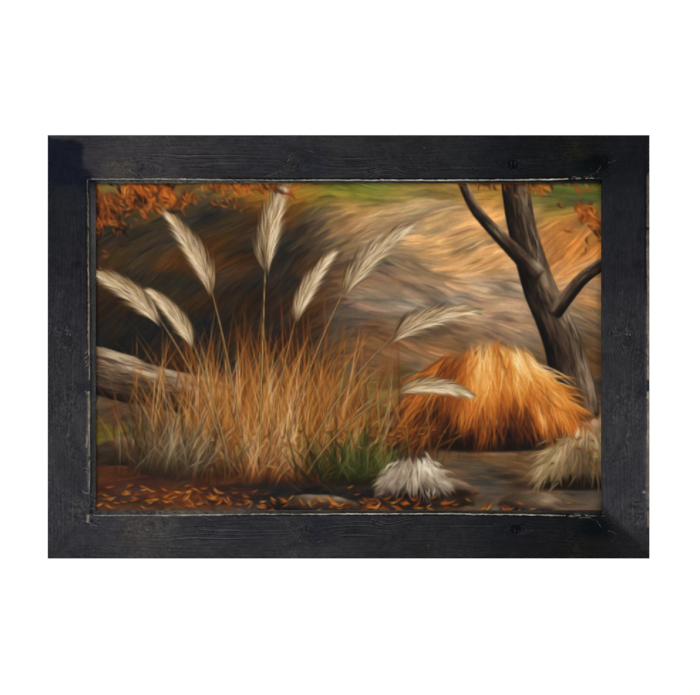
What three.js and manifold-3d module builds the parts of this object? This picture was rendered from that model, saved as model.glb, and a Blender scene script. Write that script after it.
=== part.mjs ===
// A framed art print that hangs on a wall: four mitred wooden rails round a flat print on its
// mount board, with a hardboard back, glazier's points, a sawtooth hanger and two wall bumpers.
//
// Millimetres, +Z up. The picture faces -Y and the wall is the plane y = 0. The origin is the
// centre notch of the hanger, on the wall. There is no glass.

import * as THREE from 'three';
import { mergeVertices } from 'three/addons/utils/BufferGeometryUtils.js';
import Module from 'manifold-3d';

const wasm = await Module();
wasm.setup();

// Driving dimensions.
const frameWidth = 685.8; // 27 in
const frameHeight = 482.6; // 19 in
const printWidth = 609.6; // 24 in
const printHeight = 406.4; // 16 in
const gap = 0.3; // left between two pieces that touch
const wallSpace = 3; // from the rails' backs to the wall

// The rail's section: "across" runs from the outer edge inwards, "deep" from the back forwards.
const rail = {
	width: 55,
	depth: 19,
	outerEase: 1.6, // radius of the outer front edge
	rabbet: 18, // width of the rabbet that takes the print and boards
	ledge: 12.5, // how deep the rabbet goes, from the back
	sightEase: 0.8, // radius of the edge beside the print
};
const rabbetWall = rail.width - rail.rabbet;

// A shallow ledge runs round the opening on three sides. The right rail's face has none.
const lip = { left: 7.5, top: 3.2, bottom: 2.9, drop: 3.2 };

// What lies in the rabbet, from the front backwards.
const printThickness = 0.6;
const mountBoardThickness = 3;
const backBoardThickness = 3;
const backBoardTrim = 1; // the back board is cut this much smaller than the print, each way

// Glazier's points: flat steel blades driven into the rabbet's wall over the back board.
const point = { width: 8, length: 19, driven: 7, tip: 3, thickness: 0.6 };
const pointsAlong = { rail_top: 4, rail_bottom: 4, rail_left: 3, rail_right: 3 };

// V-nails across each mitre, sunk flush with the back.
const vNail = { leg: 7, thickness: 0.7, depth: 7, fromCorner: [15, 27] };

// The sawtooth hanger: a bent steel strip, nailed at both ends.
const hanger = {
	width: 44.5,
	height: 9,
	thickness: 0.8,
	tab: 7.5, // flat end that is nailed down
	ramp: 2, // slope between a tab and the raised bridge
	lift: 1.7, // how far the bridge stands off the tabs
	teeth: 7,
	pitch: 3.4,
	toothHeight: 2,
	below: 24, // from the frame's top edge down to the centre notch
};
const tabNail = { head: 2.1, headThickness: 0.7, shank: 0.75, length: 9, point: 1.8 };

// Wall bumpers near the two lower corners.
const bumper = { base: 6, top: 5.2, fromSide: 52, fromBottom: 19 };

const finish = {
	paintedWood: { color: 0x2b2c30, roughness: 0.6, metalness: 0 },
	print: { color: 0x8a6238, roughness: 0.75, metalness: 0 },
	mountBoard: { color: 0xe6e2d8, roughness: 0.9, metalness: 0 },
	hardboard: { color: 0x6f5237, roughness: 0.85, metalness: 0 },
	steel: { color: 0x9da0a3, roughness: 0.35, metalness: 1 },
	brassedSteel: { color: 0xb39a5e, roughness: 0.4, metalness: 1 },
	rubber: { color: 0x2a2725, roughness: 0.9, metalness: 0 },
};

function named( name, geometry, look ) {

	const mesh = new THREE.Mesh( geometry, new THREE.MeshStandardMaterial( look ) );
	mesh.name = name;
	return mesh;

}

// A mesh as a manifold-3d solid, in the space of another mesh.
function solidIn( home, mesh ) {

	home.updateMatrixWorld( true );
	mesh.updateMatrixWorld( true );
	const toHome = home.matrixWorld.clone().invert().multiply( mesh.matrixWorld );
	const bare = mesh.geometry.clone().deleteAttribute( 'normal' ).deleteAttribute( 'uv' );
	const merged = mergeVertices( bare, 1e-4 ).applyMatrix4( toHome );
	return new wasm.Manifold( new wasm.Mesh( {
		numProp: 3,
		vertProperties: new Float32Array( merged.attributes.position.array ),
		triVerts: new Uint32Array( merged.index.array ),
	} ) );

}

// Cuts each tool out of the mesh, wherever the tools are placed.
function cut( mesh, tools ) {

	let solid = solidIn( mesh, mesh );
	for ( const tool of tools ) solid = solid.subtract( solidIn( mesh, tool ) );
	const { vertProperties, triVerts } = solid.getMesh();
	const geometry = new THREE.BufferGeometry();
	geometry.setAttribute( 'position', new THREE.Float32BufferAttribute( vertProperties, 3 ) );
	geometry.setIndex( new THREE.BufferAttribute( triVerts, 1 ) );
	mesh.geometry = geometry.toNonIndexed();
	mesh.geometry.computeVertexNormals();
	return mesh;

}

function railSection() {

	const sight = rail.width - rail.sightEase;
	const section = new THREE.Shape();
	section.moveTo( 0, 0 );
	section.lineTo( rabbetWall, 0 );
	section.lineTo( rabbetWall, rail.ledge );
	section.lineTo( rail.width, rail.ledge );
	section.absarc( sight, rail.depth - rail.sightEase, rail.sightEase, 0, Math.PI / 2 );
	section.absarc( rail.outerEase, rail.depth - rail.outerEase, rail.outerEase, Math.PI / 2, Math.PI );
	return section;

}

// A rail lies along X with its outer edge up, turned about the frame's centre to its own side.
function makeRail( name, length, reach, turn ) {

	const geometry = new THREE.ExtrudeGeometry( railSection(), {
		depth: length,
		curveSegments: 4,
		bevelEnabled: false,
	} );
	geometry.translate( 0, 0, - length / 2 );
	const across = new THREE.Vector3( 0, 0, - 1 );
	const deep = new THREE.Vector3( 0, - 1, 0 );
	const along = new THREE.Vector3( - 1, 0, 0 );
	geometry.applyMatrix4( new THREE.Matrix4().makeBasis( across, deep, along ) );
	geometry.translate( 0, 0, reach );
	const mesh = named( name, geometry, finish.paintedWood );
	mesh.rotation.y = turn;
	return mesh;

}

// The waste beyond both mitres of a rail: a block at each end, turned 45 degrees.
function mitreWaste( length, reach, turn ) {

	const size = 4 * rail.width;
	return [ - 1, 1 ].map( ( end ) => {

		const block = new THREE.Mesh( new THREE.BoxGeometry( size, size, size ) );
		const middle = ( size - gap ) / 2;
		block.geometry.translate( end * middle, 0, 0 );
		block.geometry.rotateY( end * Math.PI / 4 );
		block.geometry.translate( end * length / 2, 0, reach );
		block.rotation.y = turn;
		return block;

	} );

}

// What the ledge takes off the rails' faces, as one block over the whole opening.
function lipWaste() {

	const width = frameWidth - 2 * rail.width + lip.left;
	const height = frameHeight - 2 * rail.width + lip.top + lip.bottom;
	const block = new THREE.Mesh( new THREE.BoxGeometry( width, 2 * lip.drop, height ) );
	block.position.set( - lip.left / 2, - rail.depth, ( lip.top - lip.bottom ) / 2 );
	return block;

}

// Flat shapes are drawn as X and Z seen from the front, then pushed back along +Y.
function plate( shape, thickness, front ) {

	const geometry = new THREE.ExtrudeGeometry( shape, { depth: thickness, bevelEnabled: false } );
	return geometry.rotateX( Math.PI / 2 ).translate( 0, front + thickness, 0 );

}

// A glazier's point, driven upwards into the top rail; "room" widens it into its own slot.
function pointBlade( room ) {

	const half = point.width / 2 + room;
	const top = point.driven + room;
	const blade = new THREE.Shape();
	blade.moveTo( - half, point.driven - point.length );
	blade.lineTo( half, point.driven - point.length );
	blade.lineTo( half, top - point.tip );
	blade.lineTo( 0, top );
	blade.lineTo( - half, top - point.tip );
	return plate( blade, point.thickness + 2 * room, - room );

}

// A V-nail seen from the back: two legs that meet on the mitre, its point towards the corner.
function vNailBlade( room ) {

	const across = ( vNail.leg + room ) / Math.SQRT2;
	const half = ( vNail.thickness / 2 + room ) * Math.SQRT2;
	const chevron = new THREE.Shape();
	chevron.moveTo( 0, half );
	chevron.lineTo( - across, half - across );
	chevron.lineTo( - across, - half - across );
	chevron.lineTo( 0, - half );
	chevron.lineTo( across, - half - across );
	chevron.lineTo( across, half - across );
	return plate( chevron, vNail.depth + 2 * room, - vNail.depth - room );

}

function nailBody( room ) {

	const radius = tabNail.shank + room;
	const outline = [
		new THREE.Vector2( 0, - tabNail.length - room ),
		new THREE.Vector2( radius, - tabNail.length + tabNail.point ),
		new THREE.Vector2( radius, 0 ),
	];
	if ( room > 0 ) outline.push( new THREE.Vector2( radius, gap ), new THREE.Vector2( 0, gap ) );
	else outline.push(
		new THREE.Vector2( tabNail.head, 0 ),
		new THREE.Vector2( tabNail.head, tabNail.headThickness / 2 ),
		new THREE.Vector2( tabNail.head / 2, tabNail.headThickness ),
		new THREE.Vector2( 0, tabNail.headThickness ),
	);
	return new THREE.LatheGeometry( outline, 20 );

}

// A bent strip in plan, extruded to the hanger's height, with teeth and nail holes cut out.
function makeHanger( name ) {

	const foot = hanger.width / 2;
	const bend = foot - hanger.tab;
	const bridge = bend - hanger.ramp;
	const near = gap;
	const far = gap + hanger.thickness;
	const strip = new THREE.Shape();
	strip.moveTo( - foot, near );
	strip.lineTo( - bend, near );
	strip.lineTo( - bridge, near + hanger.lift );
	strip.lineTo( bridge, near + hanger.lift );
	strip.lineTo( bend, near );
	strip.lineTo( foot, near );
	strip.lineTo( foot, far );
	strip.lineTo( bend, far );
	strip.lineTo( bridge, far + hanger.lift );
	strip.lineTo( - bridge, far + hanger.lift );
	strip.lineTo( - bend, far );
	strip.lineTo( - foot, far );
	const geometry = new THREE.ExtrudeGeometry( strip, { depth: hanger.height, bevelEnabled: false } );
	geometry.translate( 0, 0, - hanger.toothHeight );
	const mesh = named( name, geometry, finish.steel );

	const notches = Array.from( { length: hanger.teeth }, ( _, i ) => {

		const at = ( i - ( hanger.teeth - 1 ) / 2 ) * hanger.pitch;
		const notch = new THREE.Shape();
		notch.moveTo( at, 0 );
		notch.lineTo( at - hanger.pitch / 2 + gap, - hanger.toothHeight - gap );
		notch.lineTo( at + hanger.pitch / 2 - gap, - hanger.toothHeight - gap );
		return new THREE.Mesh( plate( notch, 4 * hanger.lift, 0 ) );

	} );
	const holes = tabNailPlaces().map( ( x ) => {

		const hole = new THREE.CylinderGeometry( tabNail.shank + gap, tabNail.shank + gap, 8, 20 );
		return new THREE.Mesh( hole.translate( x, 0, hanger.height / 2 - hanger.toothHeight ) );

	} );
	return cut( mesh, [ ...notches, ...holes ] );

}

function tabNailPlaces() {

	const middleOfTab = ( hanger.width - hanger.tab ) / 2;
	return [ - middleOfTab, middleOfTab ];

}

// A piece that is driven in, and the slot that it makes: one shape, two sizes, one place.
const slots = [];

function drive( name, blade, look, place ) {

	const piece = named( name, blade( 0 ), look );
	const slot = new THREE.Mesh( blade( gap ) );
	place( piece );
	place( slot );
	slots.push( slot );
	return piece;

}

function sheet( name, width, height, thickness, front, look ) {

	const mesh = named( name, new THREE.BoxGeometry( width, thickness, height ), look );
	mesh.position.y = front + thickness / 2;
	return mesh;

}

// Everything is placed about the middle of the frame, with y = 0 at the rails' backs.
const picture = new THREE.Group();

const turns = [
	{ name: 'rail_top', length: frameWidth, reach: frameHeight / 2, turn: 0 },
	{ name: 'rail_right', length: frameHeight, reach: frameWidth / 2, turn: Math.PI / 2 },
	{ name: 'rail_bottom', length: frameWidth, reach: frameHeight / 2, turn: Math.PI },
	{ name: 'rail_left', length: frameHeight, reach: frameWidth / 2, turn: - Math.PI / 2 },
];

const printFront = gap - rail.ledge;
const mountFront = printFront + printThickness + gap;
const backFront = mountFront + mountBoardThickness + gap;
const pointFront = backFront + backBoardThickness + gap;
picture.add(
	sheet( 'print_sheet', printWidth, printHeight, printThickness, printFront, finish.print ),
	sheet( 'mount_board', printWidth, printHeight, mountBoardThickness, mountFront, finish.mountBoard ),
	sheet( 'back_board', printWidth - backBoardTrim, printHeight - backBoardTrim, backBoardThickness,
		backFront, finish.hardboard ),
);

for ( const { name, length, reach, turn } of turns ) {

	const count = pointsAlong[ name ];
	const clear = length - 2 * rail.width;
	for ( let i = 0; i < count; i ++ ) {

		const along = ( ( i + 0.5 ) / count - 0.5 ) * clear;
		picture.add( drive( `point_${ name.slice( 5 ) }_${ i + 1 }`, pointBlade, finish.steel, ( mesh ) => {

			mesh.geometry.translate( along, pointFront, reach - rabbetWall );
			mesh.rotation.y = turn;

		} ) );

	}

}

for ( const [ corner, side, level ] of [
	[ 'top_left', - 1, 1 ], [ 'top_right', 1, 1 ], [ 'bottom_right', 1, - 1 ], [ 'bottom_left', - 1, - 1 ],
] ) {

	vNail.fromCorner.forEach( ( from, i ) => {

		picture.add( drive( `v_nail_${ corner }_${ i + 1 }`, vNailBlade, finish.steel, ( mesh ) => {

			mesh.position.set( side * ( frameWidth / 2 - from ), 0, level * ( frameHeight / 2 - from ) );
			mesh.rotation.y = Math.atan2( side, level );

		} ) );

	} );

}

const notchHeight = frameHeight / 2 - hanger.below;
const hangerMesh = makeHanger( 'sawtooth_hanger' );
hangerMesh.position.z = notchHeight;
picture.add( hangerMesh );
tabNailPlaces().forEach( ( x, i ) => {

	picture.add( drive( `hanger_nail_${ i + 1 }`, nailBody, finish.brassedSteel, ( mesh ) => {

		const headSeat = hanger.thickness + 2 * gap;
		mesh.position.set( x, headSeat, notchHeight + hanger.height / 2 - hanger.toothHeight );

	} ) );

} );

for ( const [ name, side ] of [ [ 'bumper_left', - 1 ], [ 'bumper_right', 1 ] ] ) {

	const mesh = named( name, new THREE.LatheGeometry( [
		new THREE.Vector2( 0, gap ),
		new THREE.Vector2( bumper.base, gap ),
		new THREE.Vector2( bumper.base, wallSpace / 2 ),
		new THREE.Vector2( bumper.top, wallSpace ),
		new THREE.Vector2( 0, wallSpace ),
	], 32 ), finish.rubber );
	const across = frameWidth / 2 - bumper.fromSide;
	mesh.position.set( side * across, 0, bumper.fromBottom - frameHeight / 2 );
	picture.add( mesh );

}

for ( const { name, length, reach, turn } of turns ) {

	const waste = [ ...mitreWaste( length, reach, turn ), ...slots ];
	if ( name !== 'rail_right' ) waste.push( lipWaste() );
	picture.add( cut( makeRail( name, length, reach, turn ), waste ) );

}

picture.position.set( 0, - wallSpace, - notchHeight );
const framedPrint = new THREE.Group();
framedPrint.add( picture );

export default framedPrint;
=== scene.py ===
import bpy
import math
import numpy as np
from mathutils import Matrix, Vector


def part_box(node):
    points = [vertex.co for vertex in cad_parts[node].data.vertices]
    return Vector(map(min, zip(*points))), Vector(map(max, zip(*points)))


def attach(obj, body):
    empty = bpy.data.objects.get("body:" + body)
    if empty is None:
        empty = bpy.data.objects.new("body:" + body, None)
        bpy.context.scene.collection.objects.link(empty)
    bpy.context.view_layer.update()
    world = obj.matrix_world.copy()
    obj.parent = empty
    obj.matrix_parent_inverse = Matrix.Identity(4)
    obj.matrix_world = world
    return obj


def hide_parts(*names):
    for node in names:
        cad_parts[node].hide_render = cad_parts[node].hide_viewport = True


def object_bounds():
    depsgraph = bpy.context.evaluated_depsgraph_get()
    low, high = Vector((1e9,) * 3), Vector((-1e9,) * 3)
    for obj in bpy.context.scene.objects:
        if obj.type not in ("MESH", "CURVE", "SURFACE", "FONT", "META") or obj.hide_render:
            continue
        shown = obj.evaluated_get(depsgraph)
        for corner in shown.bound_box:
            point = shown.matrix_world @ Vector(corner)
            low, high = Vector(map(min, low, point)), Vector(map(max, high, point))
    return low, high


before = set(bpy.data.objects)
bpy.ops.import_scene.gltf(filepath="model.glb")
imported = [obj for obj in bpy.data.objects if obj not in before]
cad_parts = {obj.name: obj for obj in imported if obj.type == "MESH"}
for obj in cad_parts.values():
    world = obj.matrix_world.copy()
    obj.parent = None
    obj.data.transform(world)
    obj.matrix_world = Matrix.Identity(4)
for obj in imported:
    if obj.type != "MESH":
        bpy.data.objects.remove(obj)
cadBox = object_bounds()
mm = 0.001


def toLinear(colour):
    c = np.asarray(colour, float) / 255
    return np.where(c <= 0.04045, c / 12.92, ((c + 0.055) / 1.055) ** 2.4)


def rgba(*colour):
    return (*[float(v) for v in toLinear(colour)], 1.0)


def smooth(low, high, t):
    t = np.clip((t - low) / (high - low), 0, 1)
    return t * t * (3 - 2 * t)


# 1 between two places, with soft ends
def window(t, low, high, rise, fall=None):
    fall = rise if fall is None else fall
    return smooth(low - rise, low + rise, t) * (1 - smooth(high - fall, high + fall, t))


# a value that changes from stop to stop, and a colour that does
def follow(stops, t):
    return np.interp(t, *zip(*stops))


def ramp(stops, t):
    places, *channels = zip(*stops)
    return np.stack([np.interp(t, places, channel) for channel in channels], -1)


def unit(value):
    return np.clip(value, 0, 1)


class Noise:
    # smooth lattice noise, about 0 to 1, from a seeded grid that wraps round
    cells = 64

    def __init__(self, seed):
        self.grid = np.random.default_rng(seed).random((self.cells, self.cells))

    def layer(self, x, y):
        xi, yi = np.floor(x).astype(int), np.floor(y).astype(int)
        fx, fy = smooth(0, 1, x - xi), smooth(0, 1, y - yi)
        x0, x1, y0, y1 = (k % self.cells for k in (xi, xi + 1, yi, yi + 1))
        low = self.grid[x0, y0] * (1 - fx) + self.grid[x1, y0] * fx
        high = self.grid[x0, y1] * (1 - fx) + self.grid[x1, y1] * fx
        return low * (1 - fy) + high * fy

    def __call__(self, x, y, octaves=3):
        x, y = np.broadcast_arrays(np.asarray(x, float), np.asarray(y, float))
        total, weight = 0, 0
        for k in range(octaves):
            total = total + 0.5 ** k * self.layer(x * 2 ** k + 17.3 * k, y * 2 ** k + 5.1 * k)
            weight += 0.5 ** k
        return total / weight


class Nodes:
    # a small helper that makes nodes in a tree and joins them
    def __init__(self, tree):
        self.tree = tree

    def join(self, value, socket):
        if isinstance(value, bpy.types.NodeSocket):
            self.tree.links.new(value, socket)
        else:
            socket.default_value = value

    def add(self, kind, links=None, **settings):
        node = self.tree.nodes.new(kind)
        for key, value in settings.items():
            setattr(node, key, value)
        for key, value in (links or {}).items():
            self.join(value, node.inputs[key])
        return node

    def math(self, operation, a, b=0.0, clamp=False):
        return self.add("ShaderNodeMath", {0: a, 1: b}, operation=operation, use_clamp=clamp).outputs[0]

    def times(self, a, b):
        return self.math("MULTIPLY", a, b)

    def sum(self, *values):
        total = values[0]
        for value in values[1:]:
            total = self.math("ADD", total, value)
        return total

    def remap(self, value, low, high, newLow=0.0, newHigh=1.0, kind="SMOOTHSTEP"):
        links = {"Value": value, "From Min": low, "From Max": high, "To Min": newLow, "To Max": newHigh}
        return self.add("ShaderNodeMapRange", links, interpolation_type=kind).outputs["Result"]

    # spreads the middle of a noise over a range
    def swing(self, value, low=0.0, high=1.0, kind="SMOOTHSTEP"):
        return self.remap(value, 0.3, 0.7, low, high, kind)

    def pulse(self, value, centre, width):
        off = self.math("ABSOLUTE", self.math("SUBTRACT", value, centre))
        return self.remap(off, 0.0, width, 1.0, 0.0)

    def mix(self, factor, a, b, blend="MIX"):
        node = self.add("ShaderNodeMix", data_type="RGBA", blend_type=blend)
        for socket, value in zip((node.inputs[0], node.inputs[6], node.inputs[7]), (factor, a, b)):
            self.join(value, socket)
        return node.outputs[2]

    # lays a plain colour over another where the factor says, or makes one lighter and darker
    def tint(self, factor, base, *colour):
        return self.mix(factor, base, rgba(*colour))

    def shade(self, base, value):
        grey = self.add("ShaderNodeCombineColor", {0: value, 1: value, 2: value}).outputs[0]
        return self.mix(1.0, base, grey, "MULTIPLY")

    def noise(self, vector, scale, detail=3.0, roughness=0.5, distortion=0.0):
        links = {"Vector": vector, "Scale": scale, "Detail": detail, "Roughness": roughness}
        return self.add("ShaderNodeTexNoise", {**links, "Distortion": distortion}).outputs["Fac"]

    def scaled(self, vector, scale=(1, 1, 1), location=(0, 0, 0)):
        links = {"Vector": vector, "Scale": scale, "Location": location}
        return self.add("ShaderNodeMapping", links).outputs[0]

    def position(self):
        return self.add("ShaderNodeTexCoord").outputs["Object"]

    def read(self, name, kind="Fac"):
        return self.add("ShaderNodeAttribute", attribute_name=name).outputs[kind]

    def place(self, group, **links):
        node = self.tree.nodes.new("ShaderNodeGroup")
        node.node_tree = group
        for key, value in links.items():
            self.join(value, node.inputs[key])
        return node.outputs


def newGroup(name, inputs, outputs, kind="ShaderNodeTree"):
    tree = bpy.data.node_groups.new(name, kind)
    for label, form, value in inputs:
        socket = tree.interface.new_socket(name=label, in_out="INPUT", socket_type=form)
        if value is not None:
            socket.default_value = value
    for label, form in outputs:
        tree.interface.new_socket(name=label, in_out="OUTPUT", socket_type=form)
    nodes = Nodes(tree)
    start = nodes.add("NodeGroupInput").outputs
    end = nodes.add("NodeGroupOutput").inputs
    return tree, nodes, start, end


def newMaterial(name):
    material = bpy.data.materials.new(name)
    material.use_nodes = True
    material.node_tree.nodes.clear()
    nodes = Nodes(material.node_tree)
    shader = nodes.add("ShaderNodeBsdfPrincipled")
    nodes.add("ShaderNodeOutputMaterial", {"Surface": shader.outputs[0]})
    return material, nodes, shader


# joins what a finish has worked out to its shader; the relief's depth is in mm
def finish(n, shader, colour, roughness, height, strength, depth, specular=0.5):
    n.join(colour, shader.inputs["Base Color"])
    n.join(roughness, shader.inputs["Roughness"])
    shader.inputs["Specular IOR Level"].default_value = specular
    bump = n.add("ShaderNodeBump", {"Height": height, "Strength": strength, "Distance": depth * mm})
    n.join(bump.outputs[0], shader.inputs["Normal"])


# a mesh from points in mm
def newPiece(name, points, faces, materials=()):
    mesh = bpy.data.meshes.new(name)
    mesh.from_pydata((np.asarray(points) * mm).tolist(), [], [list(face) for face in faces])
    piece = bpy.data.objects.new(name, mesh)
    bpy.context.scene.collection.objects.link(piece)
    for material in materials:
        mesh.materials.append(material)
    return piece


# a value for each point, or a colour for each point or corner
def setValues(mesh, name, values):
    mesh.attributes.new(name, "FLOAT", "POINT").data.foreach_set("value", values.astype(np.float32).ravel())


def setColours(mesh, name, colours, domain="POINT"):
    opaque = np.concatenate([colours, np.ones((len(colours), 1))], 1).astype(np.float32)
    mesh.attributes.new(name, "FLOAT_COLOR", domain).data.foreach_set("color", opaque.ravel())


def setMap(mesh, name, layout):
    mesh.uv_layers.new(name=name).data.foreach_set("uv", layout.astype(np.float32).ravel())


# a grid of points over two rows of places: the points, the quads, and the rim in order from the front
def gridOver(xs, zs):
    x, z = np.meshgrid(xs, zs, indexing="ij")
    index = np.arange(x.size).reshape(x.shape)
    quads = np.stack([index[:-1, :-1], index[1:, :-1], index[1:, 1:], index[:-1, 1:]], -1).reshape(-1, 4)
    return x, z, quads, np.concatenate([index[:-1, 0], index[-1, :-1], index[:0:-1, -1], index[0, :0:-1]])


# the quads that join two loops
def bridge(upper, lower):
    return np.stack([upper, lower, np.roll(lower, -1), np.roll(upper, -1)], -1)


def smoothShade(mesh, angle):
    mesh.polygons.foreach_set("use_smooth", np.ones(len(mesh.polygons), bool))
    mesh.set_sharp_from_angle(angle=math.radians(angle))


def declare(piece, slot, *nodes):
    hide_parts(*nodes)
    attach(piece, "root")
    print(piece.name, len(piece.data.polygons), "faces")


# the pattern runs along the first coordinate, one growth ring to each unit of the second
def makeWoodFigure():
    outputs = [(name, "NodeSocketFloat") for name in ("LatewoodAndGrooveShade", "RidgeHighlight", "Streak", "Fibre")]
    tree, n, start, end = newGroup("woodFigure", [("Vector", "NodeSocketVector", None)], outputs)
    at = start["Vector"]
    ring = n.add("ShaderNodeSeparateXYZ", {0: at}).outputs[1]
    wander = n.noise(n.scaled(at, (0.35, 0.6, 1)), 1.0, 2.0)
    phase = n.math("FRACT", n.math("ADD", ring, n.times(wander, 0.7)))
    broken = n.remap(n.noise(n.scaled(at, (0.16, 1.9, 1), (3, 7, 0)), 1.0, 2.0), 0.38, 0.58)
    # two thin lines in each ring: the first is darker latewood in raw pine and painted shade in the paint,
    # the second is a painted highlight
    n.join(n.times(n.pulse(phase, 0.34, 0.18), broken), end["LatewoodAndGrooveShade"])
    n.join(n.times(n.pulse(phase, 0.6, 0.17), broken), end["RidgeHighlight"])
    n.join(n.noise(n.scaled(at, (0.3, 1.7, 1)), 1.0, 4.0, 0.65), end["Streak"])
    n.join(n.noise(n.scaled(at, (1.1, 9.0, 1), (5, 1, 0)), 1.0, 3.0, 0.6), end["Fibre"])
    return tree


# a group whose patterns are on the piece's own coordinates, and grow with Size
def newPattern(name, outputs):
    inputs = [("Vector", "NodeSocketVector", None), ("Size", "NodeSocketFloat", 1.0)]
    tree, n, start, end = newGroup(name, inputs, [(output, "NodeSocketFloat") for output in outputs])
    at = n.add("ShaderNodeVectorMath", {0: start["Vector"]}, operation="SCALE")
    n.join(n.math("DIVIDE", 1.0, start["Size"]), at.inputs["Scale"])
    return tree, n, at.outputs[0], end


# fine tooth, slow blotches and sparse specks
def makeGrit():
    tree, n, at, end = newPattern("grit", ("Tooth", "Blotch", "Speck"))
    n.join(n.noise(at, 420.0, 3.0, 0.6), end["Tooth"])
    n.join(n.noise(at, 24.0, 3.0, 0.6), end["Blotch"])
    n.join(n.remap(n.noise(n.scaled(at, location=(4, 9, 2)), 250.0, 1.0), 0.7, 0.8), end["Speck"])
    return tree


woodFigure = makeWoodFigure()
grit = makeGrit()


timber = dict(outerEase=1.6, rabbet=18, ledge=12.5, sightEase=0.8, lipDrop=3.2, lipFall=0.4, stepEase=0.8,
              row=0.9, column=0.7, sideColumn=1.6, stepColumn=0.6, sightColumn=1.1, backColumn=2.6,
              rabbetColumns=(4.5, 3.2), mitreBlend=70, mitreGap=0.4, ringSpacing=4.0, sheenLoss=0.003)
relief = dict(ring=0.2, fibre=0.05, dent=0.28, groove=0.75, chip=0.22, crack=0.5, heart=0.16, wear=0.45,
              mitre=0.03, atSides=0.2)

# how the four rails meet: the paint's tone runs on round each corner
cornerTones = dict(topLeft=(26, 29, 38), topRight=(24, 25, 29), bottomLeft=(51, 51, 56),
                   bottomRight=(32, 32, 34))


# a soft round area on a board, in mm: its centre, its reach along and across, and how much it does there
def spot(along, across, wide, deep, amount=1, **more):
    return dict(along=along, across=across, wide=wide, deep=deep, amount=amount, **more)


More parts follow.
